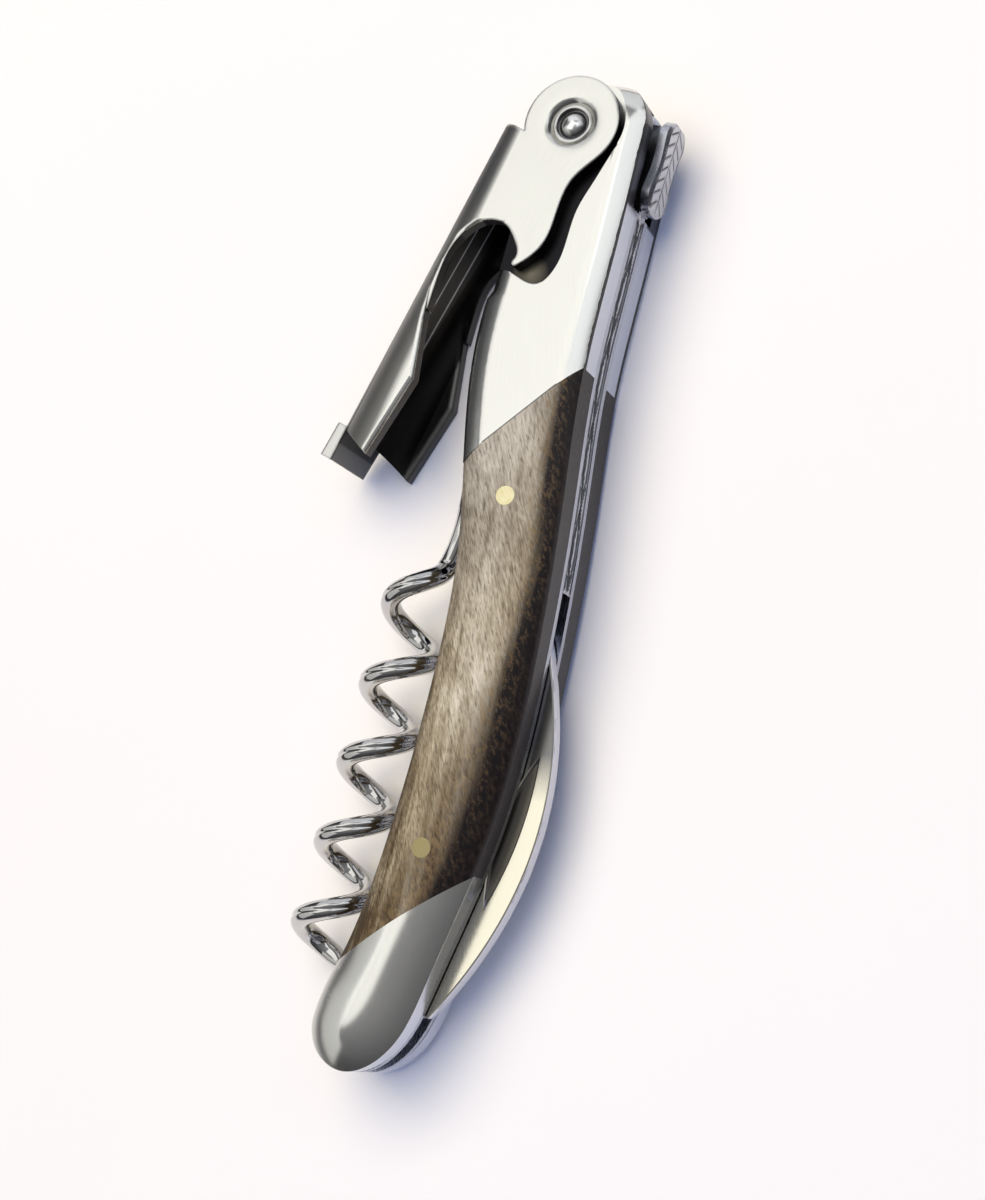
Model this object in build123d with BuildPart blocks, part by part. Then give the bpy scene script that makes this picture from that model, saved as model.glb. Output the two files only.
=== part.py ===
# Folding lever corkscrew with a foil knife, lying on its side.
# X runs from the tail to the head, Y from the back to the belly (the worm's side), Z is the thickness.
# All pieces are drawn about the handle's middle plane, then shifted together so that the box of the
# whole assembly stands on Z = 0 with its centre over the origin. Millimetres and degrees.
import os
from math import acos, cos, degrees, pi, radians, sin, sqrt

from build123d import *

# Handle, thickness from the middle plane outwards
GAP = 2.6
LINER = 0.9
COVER = 4.8
CROWN_ROUND = 2.8
LEAF = 2.4
RUN = 0.05

# Handle, side view. Its points stand back from the head end, on from the tail end or in the middle,
# where they are shares of the room between the head's and the tail's points
LENGTH = 120.4
HEAD_ZONE = 50.0
TAIL_ZONE = 12.0
HEAD_R = 6.2
HEAD_CORNER = 5.0
BACK_AT_HEAD = -2.35
BACK_HEAD_POINTS = [(20.0, -3.25), (35.0, -4.2), (50.0, -6.5)]
BACK_MIDDLE_SHARES = (0.651, 0.325)
BACK_MIDDLE_HEIGHTS = (-9.2, -9.95)
BACK_TAIL_POINTS = [(12.0, -7.75), (3.4, -5.4)]
BELLY_HEAD_POINTS = [(28.0, 10.7), (36.4, 10.1), (48.4, 7.3)]
BELLY_MIDDLE_SHARES = (0.822, 0.514, 0.223)
BELLY_MIDDLE_HEIGHTS = (4.3, 2.6, 2.3)
BELLY_TAIL_POINTS = [(14.0, 3.05), (8.5, 4.15)]
TAIL_SLOPE = 0.15
TAIL_BELLY = 4.4
TAIL_END = 5.0
TAIL_MIDDLE = -0.4
CUT_HEAD_BACK = (35.5, -4.0)
CUT_HEAD_BELLY = (48.9, 6.7)
CUT_TAIL_BACK = (25.9, -10.0)
CUT_TAIL_BELLY = (12.05, 3.1)

# Lever, drawn along its own axis from the pivot: s to the tip, n to the spine
PIVOT_Y = 6.6
LEVER_REST = 13.5
LEVER_R = 6.1
SHEET = 1.6
SPINE = 8.85
SPINE_START = 3.0
SPINE_END = 49.2
WALL_END = 46.7
WALL_EDGE = 2.0
WALL_DEEP = 36.0
ARCH_START = 14.4
TONGUE = 18.4
TONGUE_LOW = -3.2
TONGUE_TOP = -2.3
TONGUE_NOSE = 0.5
WAIST_POINTS = [(6.6, -3.95), (13.0, -4.85)]
ARCH_POINTS = [(1.2, -1.0), (0.0, 1.4), (0.9, 4.0), (3.5, 5.6), (7.0, 6.0), (13.3, 4.65)]
WALL_DIP = 0.6
WALL_RAKE = 1.7
LIP_HALF = 4.6
LIP_ROOT = 2.0
BEND_HEAD = 1.9
BEND_TIP = 6.6
LEVER_HEAD = 9.0
SIDE_PLAY = 0.1

# Lever's pin, cam and dished rivet
PIN_R = 2.0
DISH_R = 3.1
DISH_DEPTH = 0.8
DOME = 0.45
DOME_SINK = 0.05
WASHER_R = 2.45
WASHER_T = 0.4
CAM_R = 5.0
CAM_FLAT = 4.75
CAM_PLAY = 0.1

# Recess in the head bolster for the lever's cheek, its points back from the pivot
STEP_R = 6.9
STEP_POINTS = [(7.0, 1.5), (10.5, 2.45), (15.0, 2.55), (18.6, 3.1)]
STEP_END = 4.6
STEP_PLAY = 2.0
TONGUE_PLAY = 0.9

# Worm, its shank's points back from its pin
WORM_BACK = 37.9
WORM_Y = 5.0
EYE_R = 4.2
EYE_FLAT = 3.95
WORM_PIN_R = 1.5
WIRE = 2.5
COIL_R = 3.37
PITCH = 9.69
SHANK_POINTS = [(2.5, 6.0), (10.5, 7.9), (16.5, 7.3)]
SHANK_SLOPES = (0.22, -0.05, -0.12)
SHANK = 25.2
WORM_END = 8.0
POINT_R = 0.15
COIL_Y = 9.85
COIL_TILT = 2.0
EASE_TURNS = 0.75
EASE_X = 1.1
EASE_Y = 1.05
EASE_R = 0.62
TURN_STEP = 0.01

# Blade
BLADE_X = 6.8
BLADE_Y = -1.3
BLADE_T = 2.0
TANG_R = 3.1
TANG_FLAT = 2.9
BLADE_PIN_R = 1.4
HEEL_BACK = 1.6
HEEL_Y = -7.7
BLADE_BACK_SHARES = (0.146, 0.281, 0.485, 0.691, 0.882)
BLADE_BACK_HEIGHTS = (-10.85, -12.8, -14.0, -13.0, -10.05)
BLADE_TIP_Y = -7.4
BLADE_EDGE = -2.9
BLADE_EDGE_SHARES = (0.85, 0.592, 0.249)
BLADE_EDGE_BEND = -4.4
CHOIL_SHARE = 0.174
CHOIL_Y = -2.2
BEVEL_TOP = -9.0
BEVEL_DEEP = 0.5
EDGE_HALF = 0.1
NICK_SHARES = (0.678, 0.496, 0.307)
NICK_BACK = (-11.2, -11.6, -10.2)
NICK_BELLY = -9.3
NICK_DEPTH = 0.4

# Springs and their pins
SPRING_TAIL = 22.9
SPRING_FOOT_Y = -4.4
SPRING_WAIST_SHARE = 0.629
SPRING_WAIST_Y = -1.5
SPRING_PIN_FOOT = 3.4
SPRING_PIN_Y = (-5.7, -3.6)
SPRING_PIN_R = 0.9
PAD_HALF = 3.5
SPRING_NECK = [(11.0, -0.6), (18.7, -0.2)]
SPRING_HEAD = 6.0
SPRING_PLAY = 0.3
BLADE_ROOM = 4.6
BLADE_SPRING_ROOM = 0.6
BLADE_SPRING_SHARES = (0.177, 0.418, 0.699)
BLADE_SPRING_HEIGHTS = (0.0, -0.6, -0.4)
BLADE_SPRING_FOOT_Y = 1.0
BLADE_SPRING_PINS = [(11.0, 1.1), (2.0, 2.3)]
BLADE_SPRING_PIN_R = 0.8
TANG_PAD = (1.1, 2.4)
TANG_PLAY = 0.25
CAP_BACK = 13.8
CAP_FRONT = 2.0
CAP_SEAT = -3.1
CAP_TOP = -4.4
CAP_HALF = 3.0
CAP_CORNER = 2.4
CAP_BEVEL = 0.4
CAP_PLAY = 0.1
NOTCH_FLOOR = 0.8
NOTCH_PLAY = 0.3
NOTCH_CORNER = 1.0

# Pins of the covers
SCALE_PIN_R = 1.15
BOLSTER_PIN_R = 1.0
BOLSTER_PIN_TOP = 4.8
SCALE_PIN_HEAD = (52.2, 0.05)
SCALE_PIN_TAIL = (26.7, -3.2)
HEAD_PIN_POINTS = [(23.4, -0.5), (41.4, 3.4)]
TAIL_PINS = [(13.5, -4.2), (7.5, 1.6)]

# Room that every cut leaves past the piece it cuts
OVER = 10.0


def from_head(points):
    """Places of points that are given as distances back from the head end."""
    return [(LENGTH - x, y) for x, y in points]


def between(start, end, shares, heights):
    """Places of points that are given as shares of the way from start to end."""
    return [(start + share * (end - start), y) for share, y in zip(shares, heights)]


def round_at(radius, angle, centre=(0, 0)):
    """Point on a circle, the angle in degrees from the first axis."""
    return (centre[0] + radius * cos(radians(angle)), centre[1] + radius * sin(radians(angle)))


# Levels and places that follow from the sizes above
IN = GAP / 2
MID = IN + LINER
FACE = MID + COVER
CHEEK_IN = FACE - SHEET
FLOOR = CHEEK_IN - SIDE_PLAY
PIVOT_X = LENGTH - HEAD_R
LEVER_U = (-cos(radians(LEVER_REST)), sin(radians(LEVER_REST)), 0)
LEVER_PLANE = Plane(origin=(PIVOT_X, PIVOT_Y, 0), x_dir=LEVER_U, z_dir=(0, 0, -1))
PIVOT_PLANE = Plane((PIVOT_X, PIVOT_Y, 0), x_dir=(1, 0, 0), z_dir=(0, -1, 0))
WORM_X = LENGTH - WORM_BACK
COIL_TOP = WORM_X - SHANK
SPRING_FOOT = WORM_X - SPRING_TAIL
SPRING_WAIST = SPRING_FOOT + SPRING_WAIST_SHARE * SPRING_TAIL
SPRING_PINS = [(SPRING_FOOT + SPRING_PIN_FOOT, SPRING_PIN_Y[0]), (SPRING_WAIST, SPRING_PIN_Y[1])]
SPRING_Y = PIVOT_Y - CAM_R - CAM_PLAY
PAD_Y = WORM_Y - EYE_FLAT - SPRING_PLAY
HEEL_X = BLADE_X + HEEL_BACK
BLADE_TIP = SPRING_FOOT - BLADE_ROOM
TANG_Y = BLADE_Y + TANG_R + TANG_PLAY
BLADE_SPRING_END = SPRING_FOOT - BLADE_SPRING_ROOM
BELLY_PINS = [(BLADE_SPRING_END - x, y) for x, y in BLADE_SPRING_PINS]
CAP_START = LENGTH - CAP_BACK
CAP_END = LENGTH - CAP_FRONT
CAP_X = (CAP_START + CAP_END) / 2
SCALE_PINS = [*from_head([SCALE_PIN_HEAD]), SCALE_PIN_TAIL]
HEAD_PINS = from_head(HEAD_PIN_POINTS)
HEAD_ROOM = LENGTH - HEAD_ZONE


# Side view of the handle, shared by liners, covers and springs
with BuildSketch() as outline:
    with BuildLine():
        head = CenterArc((PIVOT_X, PIVOT_Y), HEAD_R, 0, 102)
        top = Line(head @ 0, (LENGTH, BACK_AT_HEAD + HEAD_CORNER))
        corner = TangentArc(top @ 1, (LENGTH - HEAD_CORNER * 0.96, BACK_AT_HEAD), tangent=(0, -1))
        back = Spline(
            corner @ 1,
            *from_head(BACK_HEAD_POINTS),
            *between(TAIL_ZONE, HEAD_ROOM, BACK_MIDDLE_SHARES, BACK_MIDDLE_HEIGHTS),
            *BACK_TAIL_POINTS,
            (0, TAIL_MIDDLE),
            tangents=(corner % 1, (0, 1)),
        )
        belly = Spline(
            *from_head(BELLY_HEAD_POINTS),
            *between(TAIL_ZONE, HEAD_ROOM, BELLY_MIDDLE_SHARES, BELLY_MIDDLE_HEIGHTS),
            BELLY_TAIL_POINTS[0],
            tangents=((-1, -0.02), (-1, TAIL_SLOPE)),
        )
        Spline(*BELLY_TAIL_POINTS, (TAIL_END, TAIL_BELLY), tangents=(belly % 1, (-1, 0)))
        EllipticalCenterArc((TAIL_END, TAIL_MIDDLE), TAIL_END, TAIL_BELLY - TAIL_MIDDLE, 90, arc_size=90)
        Spline(head @ 1, belly @ 0, tangents=(head % 1, belly % 0))
    make_face()

# Liners
with BuildPart() as liner_near:
    with BuildSketch(Plane.XY.offset(IN)):
        add(outline.sketch)
        with Locations((PIVOT_X, PIVOT_Y)):
            Circle(PIN_R + RUN, mode=Mode.SUBTRACT)
        with Locations((WORM_X, WORM_Y)):
            Circle(WORM_PIN_R, mode=Mode.SUBTRACT)
        with Locations((BLADE_X, BLADE_Y)):
            Circle(BLADE_PIN_R, mode=Mode.SUBTRACT)
        with Locations(SPRING_PINS):
            Circle(SPRING_PIN_R, mode=Mode.SUBTRACT)
        with Locations(BELLY_PINS):
            Circle(BLADE_SPRING_PIN_R, mode=Mode.SUBTRACT)
        with Locations(SCALE_PINS):
            Circle(SCALE_PIN_R, mode=Mode.SUBTRACT)
        with Locations(HEAD_PINS + TAIL_PINS):
            Circle(BOLSTER_PIN_R, mode=Mode.SUBTRACT)
        with Locations((CAP_X, NOTCH_FLOOR - OVER / 2)):
            RectangleRounded(CAP_END - CAP_START + 2 * NOTCH_PLAY, OVER, NOTCH_CORNER, mode=Mode.SUBTRACT)
    extrude(amount=LINER)

# Covers: one crowned body over the whole side, cut into bolsters and scale
with BuildPart() as cover:
    with BuildSketch(Plane.XY.offset(MID)):
        add(outline.sketch)
    extrude(amount=COVER)
    fillet(cover.faces().sort_by(Axis.Z)[-1].edges(), CROWN_ROUND)


def cut_plane(back_point, belly_point):
    """Upright plane through two points of the side view, its normal to the head."""
    run = (belly_point[0] - back_point[0], belly_point[1] - back_point[1])
    return Plane(origin=(*back_point, 0), x_dir=(*run, 0), z_dir=(run[1], -run[0], 0))


HEAD_CUT = cut_plane(*from_head([CUT_HEAD_BACK, CUT_HEAD_BELLY]))
TAIL_CUT = cut_plane(CUT_TAIL_BACK, CUT_TAIL_BELLY)

with BuildPart() as head_bolster_near:
    add(cover.part)
    split(bisect_by=HEAD_CUT, keep=Keep.TOP)
    with BuildSketch(Plane.XY.offset(MID)):
        with Locations((CAP_X, NOTCH_FLOOR - OVER / 2)):
            RectangleRounded(CAP_END - CAP_START + 2 * NOTCH_PLAY, OVER, NOTCH_CORNER)
    extrude(amount=CAP_HALF + NOTCH_PLAY - MID, mode=Mode.SUBTRACT)
    with BuildSketch(Plane.XY.offset(FLOOR)):
        with BuildLine():
            ring = CenterArc((PIVOT_X, PIVOT_Y), STEP_R, -15, -95)
            step = Spline(
                ring @ 1,
                *[(PIVOT_X - x, y) for x, y in STEP_POINTS],
                (PIVOT_X - TONGUE - STEP_PLAY, STEP_END),
                tangents=(ring % 1, (-0.3, 1)),
            )
            reach = sqrt(TONGUE**2 + TONGUE_LOW**2) + TONGUE_PLAY
            sweep_arc = CenterArc((PIVOT_X, PIVOT_Y), reach, 174, -14)
            Spline(step @ 1, sweep_arc @ 0, tangents=(step % 1, (0.2, 1)))
            Polyline(
                sweep_arc @ 1,
                (PIVOT_X - TONGUE, PIVOT_Y + 2 * OVER),
                (LENGTH + OVER, PIVOT_Y + 2 * OVER),
                (LENGTH + OVER, PIVOT_Y - STEP_R / 2),
                ring @ 0,
            )
        make_face()
    extrude(amount=COVER, mode=Mode.SUBTRACT)
    with BuildSketch(Plane.XY.offset(MID)):
        with Locations((PIVOT_X, PIVOT_Y)):
            Circle(PIN_R + RUN)
    extrude(amount=COVER, mode=Mode.SUBTRACT)
    with BuildSketch(Plane.XY.offset(MID)):
        with Locations(HEAD_PINS):
            Circle(BOLSTER_PIN_R)
    extrude(amount=BOLSTER_PIN_TOP - MID, mode=Mode.SUBTRACT)

with BuildPart() as tail_bolster_near:
    add(cover.part)
    split(bisect_by=TAIL_CUT, keep=Keep.BOTTOM)
    with BuildSketch(Plane.XY.offset(MID)):
        with Locations(TAIL_PINS):
            Circle(BOLSTER_PIN_R)
    extrude(amount=BOLSTER_PIN_TOP - MID, mode=Mode.SUBTRACT)

with BuildPart() as scale_near:
    add(cover.part)
    split(bisect_by=HEAD_CUT, keep=Keep.BOTTOM)
    split(bisect_by=TAIL_CUT, keep=Keep.TOP)
    with BuildSketch(Plane.XY.offset(MID)):
        with Locations(SCALE_PINS):
            Circle(SCALE_PIN_R)
    extrude(amount=COVER, mode=Mode.SUBTRACT)

with BuildPart() as scale_pins_near:
    with BuildSketch(Plane.XY.offset(IN)):
        with Locations(SCALE_PINS):
            Circle(SCALE_PIN_R)
    extrude(amount=FACE - IN)

with BuildPart() as head_pins_near:
    with BuildSketch(Plane.XY.offset(IN)):
        with Locations(HEAD_PINS):
            Circle(BOLSTER_PIN_R)
    extrude(amount=BOLSTER_PIN_TOP - IN)

with BuildPart() as tail_pins_near:
    with BuildSketch(Plane.XY.offset(IN)):
        with Locations(TAIL_PINS):
            Circle(BOLSTER_PIN_R)
    extrude(amount=BOLSTER_PIN_TOP - IN)

# The far side is the near side's mirror image
with BuildPart() as liner_far:
    mirror(liner_near.part, about=Plane.XY)
with BuildPart() as head_bolster_far:
    mirror(head_bolster_near.part, about=Plane.XY)
with BuildPart() as tail_bolster_far:
    mirror(tail_bolster_near.part, about=Plane.XY)
with BuildPart() as scale_far:
    mirror(scale_near.part, about=Plane.XY)
with BuildPart() as scale_pins_far:
    mirror(scale_pins_near.part, about=Plane.XY)
with BuildPart() as head_pins_far:
    mirror(head_pins_near.part, about=Plane.XY)
with BuildPart() as tail_pins_far:
    mirror(tail_pins_near.part, about=Plane.XY)

# Back spring, between the liners along the back, with a seat for its cap at the head
with BuildPart() as back_spring:
    with BuildSketch():
        with BuildLine():
            Line((SPRING_FOOT, -2 * OVER), (SPRING_FOOT, SPRING_FOOT_Y))
            Spline(
                (SPRING_FOOT, SPRING_FOOT_Y),
                (SPRING_WAIST, SPRING_WAIST_Y),
                (WORM_X - PAD_HALF, PAD_Y),
                tangents=((1, 0.1), (1, 0)),
            )
            Line((WORM_X - PAD_HALF, PAD_Y), (WORM_X + PAD_HALF, PAD_Y))
            Spline(
                (WORM_X + PAD_HALF, PAD_Y),
                *[(WORM_X + x, y) for x, y in SPRING_NECK],
                (PIVOT_X - SPRING_HEAD, SPRING_Y),
                tangents=((1, 0), (1, 0)),
            )
            Polyline(
                (PIVOT_X - SPRING_HEAD, SPRING_Y),
                (CAP_END - 2 * CAP_PLAY, SPRING_Y),
                (CAP_END - 2 * CAP_PLAY, CAP_SEAT),
                (CAP_START, CAP_SEAT),
                (CAP_START, -2 * OVER),
                (SPRING_FOOT, -2 * OVER),
            )
        make_face()
        add(outline.sketch, mode=Mode.INTERSECT)
        with Locations(SPRING_PINS):
            Circle(SPRING_PIN_R, mode=Mode.SUBTRACT)
    extrude(amount=LEAF / 2, both=True)

with BuildPart() as spring_cap:
    with BuildSketch(Plane.XZ.offset(-CAP_SEAT)):
        with Locations((CAP_X, 0)):
            RectangleRounded(CAP_END - CAP_START - 2 * CAP_PLAY, 2 * CAP_HALF, CAP_CORNER)
    extrude(amount=CAP_SEAT - CAP_TOP)
    chamfer(spring_cap.faces().sort_by(Axis.Y)[0].edges(), CAP_BEVEL)

with BuildPart() as spring_pins:
    with BuildSketch():
        with Locations(SPRING_PINS):
            Circle(SPRING_PIN_R)
    extrude(amount=MID, both=True)

# Blade spring, between the liners along the belly
with BuildPart() as blade_spring:
    with BuildSketch():
        with BuildLine():
            pad_start = BLADE_X - TANG_PAD[0]
            pad_end = BLADE_X + TANG_PAD[1]
            Polyline((pad_start, 2 * OVER), (pad_start, TANG_Y), (pad_end, TANG_Y))
            Spline(
                (pad_end, TANG_Y),
                *between(pad_end, BLADE_SPRING_END, BLADE_SPRING_SHARES, BLADE_SPRING_HEIGHTS),
                (BLADE_SPRING_END, BLADE_SPRING_FOOT_Y),
                tangents=((1, 0), (1, 0.15)),
            )
            Polyline(
                (BLADE_SPRING_END, BLADE_SPRING_FOOT_Y),
                (BLADE_SPRING_END, 2 * OVER),
                (pad_start, 2 * OVER),
            )
        make_face()
        add(outline.sketch, mode=Mode.INTERSECT)
        with Locations(BELLY_PINS):
            Circle(BLADE_SPRING_PIN_R, mode=Mode.SUBTRACT)
    extrude(amount=LEAF / 2, both=True)

with BuildPart() as blade_spring_pins:
    with BuildSketch():
        with Locations(BELLY_PINS):
            Circle(BLADE_SPRING_PIN_R)
    extrude(amount=MID, both=True)

# Pins that stay in the liners
with BuildPart() as worm_pin:
    with Locations((WORM_X, WORM_Y, 0)):
        Cylinder(WORM_PIN_R, 2 * MID)
with BuildPart() as blade_pin:
    with Locations((BLADE_X, BLADE_Y, 0)):
        Cylinder(BLADE_PIN_R, 2 * MID)


def lever_station(s, half, top, bend):
    """Section of the lever's trough at s, as a face with two rounded corners."""
    plane = Plane(LEVER_PLANE.from_local_coords((s, 0, 0)), x_dir=(0, 0, 1), z_dir=LEVER_U)
    with BuildSketch(plane) as station:
        with BuildLine():
            Polyline((-half, top - bend), (-half, -OVER), (half, -OVER), (half, top - bend))
            RadiusArc((half, top - bend), (half - bend, top), -bend)
            Line((half - bend, top), (bend - half, top))
            RadiusArc((bend - half, top), (-half, top - bend), -bend)
        make_face()
    return station.sketch


# Lever: a trough whose bend opens out to the tip, trimmed to the side view of its cheeks
LEVER_TIP = SPINE_END + RUN
SPINE_IN = SPINE - SHEET
with BuildPart() as lever:
    loft(
        [
            lever_station(-LEVER_HEAD, FACE, SPINE, BEND_HEAD),
            lever_station(LEVER_TIP, FACE, SPINE, BEND_TIP),
        ],
        ruled=True,
    )
    loft(
        [
            lever_station(-LEVER_HEAD, CHEEK_IN, SPINE_IN, BEND_HEAD - SHEET),
            lever_station(LEVER_TIP, CHEEK_IN, SPINE_IN, BEND_TIP - SHEET),
        ],
        ruled=True,
        mode=Mode.SUBTRACT,
    )
    with BuildSketch(LEVER_PLANE):
        with BuildLine():
            spine_angle = degrees(acos(SPINE_START / LEVER_R))
            disc = CenterArc((0, 0), LEVER_R, spine_angle, 295 - spine_angle)
            waist = Spline(
                disc @ 1,
                *WAIST_POINTS,
                (TONGUE, TONGUE_LOW),
                tangents=(disc % 1, (1, 0.75)),
            )
            tip = TangentArc(waist @ 1, (TONGUE - TONGUE_NOSE, TONGUE_TOP), tangent=waist % 1)
            arch = Spline(
                tip @ 1,
                *[(ARCH_START + s, n) for s, n in ARCH_POINTS],
                (WALL_DEEP, WALL_EDGE - WALL_DIP),
                tangents=(tip % 1, (1, -0.42)),
            )
            Polyline(
                arch @ 1,
                (WALL_END, WALL_EDGE),
                (WALL_END - WALL_RAKE, SPINE_IN),
                (SPINE_END, SPINE_IN),
                (SPINE_END, SPINE),
                (SPINE_START, SPINE),
                disc @ 0,
            )
        make_face()
    extrude(amount=FACE + OVER, both=True, mode=Mode.INTERSECT)
    with BuildSketch(LEVER_PLANE):
        with Locations(((WALL_END - LIP_ROOT + SPINE_END) / 2, SPINE - SHEET / 2)):
            Rectangle(SPINE_END - WALL_END + LIP_ROOT, SHEET)
    extrude(amount=LIP_HALF, both=True)
    with BuildSketch(LEVER_PLANE):
        Circle(PIN_R)
    extrude(amount=FACE + OVER, both=True, mode=Mode.SUBTRACT)
    with BuildSketch(PIVOT_PLANE):
        with BuildLine():
            Polyline(
                (0, FACE - DISH_DEPTH),
                (WASHER_R, FACE - DISH_DEPTH),
                (DISH_R, FACE),
                (0, FACE),
                close=True,
            )
        make_face()
        mirror(about=Plane.XZ)
    revolve(axis=Axis((PIVOT_X, PIVOT_Y, 0), (0, 0, 1)), mode=Mode.SUBTRACT)

# Lever's pin with a domed end on each side, its washers and the cam that the spring bears on
with BuildPart() as lever_pin:
    with BuildSketch(PIVOT_PLANE):
        with BuildLine():
            shoulder = FACE - DOME - DOME_SINK
            crown = (PIN_R**2 + DOME**2) / (2 * DOME)
            half_way = shoulder + DOME - crown + sqrt(crown**2 - (PIN_R / 2) ** 2)
            Line((0, -shoulder - DOME), (0, shoulder + DOME))
            ThreePointArc((0, shoulder + DOME), (PIN_R / 2, half_way), (PIN_R, shoulder))
            Line((PIN_R, shoulder), (PIN_R, -shoulder))
            ThreePointArc((PIN_R, -shoulder), (PIN_R / 2, -half_way), (0, -shoulder - DOME))
        make_face()
    revolve(axis=Axis((PIVOT_X, PIVOT_Y, 0), (0, 0, 1)))

with BuildPart() as lever_washers:
    with BuildSketch(Plane((PIVOT_X, PIVOT_Y, FACE - DISH_DEPTH))):
        Circle(WASHER_R)
        Circle(PIN_R, mode=Mode.SUBTRACT)
    extrude(amount=WASHER_T)
    mirror(about=Plane.XY)

with BuildPart() as lever_cam:
    with BuildSketch(Plane((PIVOT_X, PIVOT_Y, 0))):
        Circle(CAM_R)
        with Locations((0, -CAM_FLAT - CAM_R)):
            Rectangle(2 * CAM_R, 2 * CAM_R, mode=Mode.SUBTRACT)
        Circle(PIN_R, mode=Mode.SUBTRACT)
    extrude(amount=LEAF / 2, both=True)

# Worm: an eye, a shank and the turns of wire that the room holds, each quarter turn a pair of arcs
quarters = int(4 * (COIL_TOP - WORM_END) / (PITCH * cos(radians(COIL_TILT))))
coil_axis = Vector(-cos(radians(COIL_TILT)), -sin(radians(COIL_TILT)), 0)
coil_side = Vector(-coil_axis.Y, coil_axis.X, 0) * -1
coil_start = Vector(COIL_TOP, COIL_Y, 0)


def coil_place(turn):
    """Place of the wire's middle after a number of turns; the first turn eases out of the shank."""
    ease = max(0, 1 - turn / EASE_TURNS)
    a = pi - 2 * pi * turn
    middle = coil_start + Vector(EASE_X, EASE_Y, 0) * ease + coil_axis * (PITCH * turn)
    return middle + (coil_side * cos(a) + Vector(0, 0, sin(a))) * (COIL_R - EASE_R * ease)


def coil_point(turn):
    """Place and heading of the wire's middle after a number of turns from the shank."""
    ahead = coil_place(turn + TURN_STEP)
    behind = coil_place(turn - TURN_STEP)
    return coil_place(turn), (ahead - behind).normalized()


def arc_pair(p0, t0, p1, t1):
    """Two arcs from p0 along t0 to p1 along t1, tangent where they meet."""
    v = p1 - p0
    t = t0 + t1
    q = 2 * (1 - t0.dot(t1))
    if q < 1e-9:
        return [Line(p0, p1)]
    d = (-v.dot(t) + sqrt(v.dot(t) ** 2 + q * v.dot(v))) / q
    joint = (p0 + p1 + (t0 - t1) * d) * 0.5
    first = TangentArc(p0, joint, tangent=t0)
    return [first, TangentArc(joint, p1, tangent=first % 1)]


shank_points = [
    (Vector(WORM_X - x, y, 0), Vector(-1, slope, 0).normalized())
    for (x, y), slope in zip(SHANK_POINTS, SHANK_SLOPES)
]
path_points = shank_points + [coil_point(k / 4) for k in range(quarters)]

with BuildPart() as worm:
    with BuildLine() as wire_path:
        for (p0, t0), (p1, t1) in zip(path_points, path_points[1:]):
            arc_pair(p0, t0, p1, t1)
    with BuildSketch(Plane(path_points[0][0], z_dir=path_points[0][1])):
        Circle(WIRE / 2)
    sweep(path=wire_path.wire())
    end_place, end_heading = path_points[-1]
    next_place, next_heading = coil_point(quarters / 4)
    with BuildLine() as tip_path:
        arc_pair(end_place, end_heading, next_place, next_heading)
    with BuildSketch(Plane(end_place, z_dir=end_heading)) as wide_end:
        Circle(WIRE / 2)
    with BuildSketch(Plane(next_place, z_dir=next_heading)) as sharp_end:
        Circle(POINT_R)
    sweep([wide_end.sketch, sharp_end.sketch], path=tip_path.wire(), multisection=True)
    with BuildSketch():
        with Locations((WORM_X, WORM_Y)):
            Circle(EYE_R)
        with Locations((WORM_X, WORM_Y - EYE_FLAT - EYE_R)):
            Rectangle(2 * EYE_R, 2 * EYE_R, mode=Mode.SUBTRACT)
    extrude(amount=LEAF / 2, both=True)
    with BuildSketch():
        with Locations((WORM_X, WORM_Y)):
            Circle(WORM_PIN_R + RUN)
    extrude(amount=FACE, both=True, mode=Mode.SUBTRACT)

# Foil blade, folded into the back
with BuildPart() as blade:
    with BuildSketch():
        with BuildLine():
            tang_in = round_at(TANG_FLAT, -68, (BLADE_X, BLADE_Y))
            tang_out = round_at(TANG_R, 55, (BLADE_X, BLADE_Y))
            Line(tang_in, (HEEL_X, HEEL_Y))
            Spline(
                (HEEL_X, HEEL_Y),
                *between(HEEL_X, BLADE_TIP, BLADE_BACK_SHARES, BLADE_BACK_HEIGHTS),
                (BLADE_TIP, BLADE_TIP_Y),
            )
            edge_heights = (BLADE_EDGE_BEND, BLADE_EDGE, BLADE_EDGE)
            edge = Spline(
                (BLADE_TIP, BLADE_TIP_Y),
                *between(HEEL_X, BLADE_TIP, BLADE_EDGE_SHARES, edge_heights),
                tangents=((-1, 0.25), (-1, 0)),
            )
            Polyline(edge @ 1, *between(HEEL_X, BLADE_TIP, [CHOIL_SHARE], [CHOIL_Y]), tang_out)
            RadiusArc(tang_out, tang_in, TANG_R, short_sagitta=False)
        make_face()
        with Locations((BLADE_X, BLADE_Y)):
            Circle(BLADE_PIN_R + RUN, mode=Mode.SUBTRACT)
    extrude(amount=BLADE_T / 2, both=True)
    with BuildSketch(Plane.YZ.offset((edge @ 1).X)):
        with BuildLine():
            bevel_end = BLADE_EDGE + BEVEL_DEEP
            Polyline(
                (BEVEL_TOP, BLADE_T / 2),
                (bevel_end, EDGE_HALF),
                (bevel_end, BLADE_T),
                (BEVEL_TOP, BLADE_T),
                close=True,
            )
        make_face()
        mirror(about=Plane.XZ)
    extrude(amount=BLADE_TIP + OVER, mode=Mode.SUBTRACT)
    with BuildSketch(Plane.XY.offset(BLADE_T / 2 - NICK_DEPTH)):
        with BuildLine():
            nick_points = between(HEEL_X, BLADE_TIP, NICK_SHARES, NICK_BACK)
            nick = ThreePointArc(*nick_points)
            ThreePointArc(nick @ 1, (nick_points[1][0], NICK_BELLY), nick @ 0)
        make_face()
    extrude(amount=BLADE_T, mode=Mode.SUBTRACT)

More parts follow.
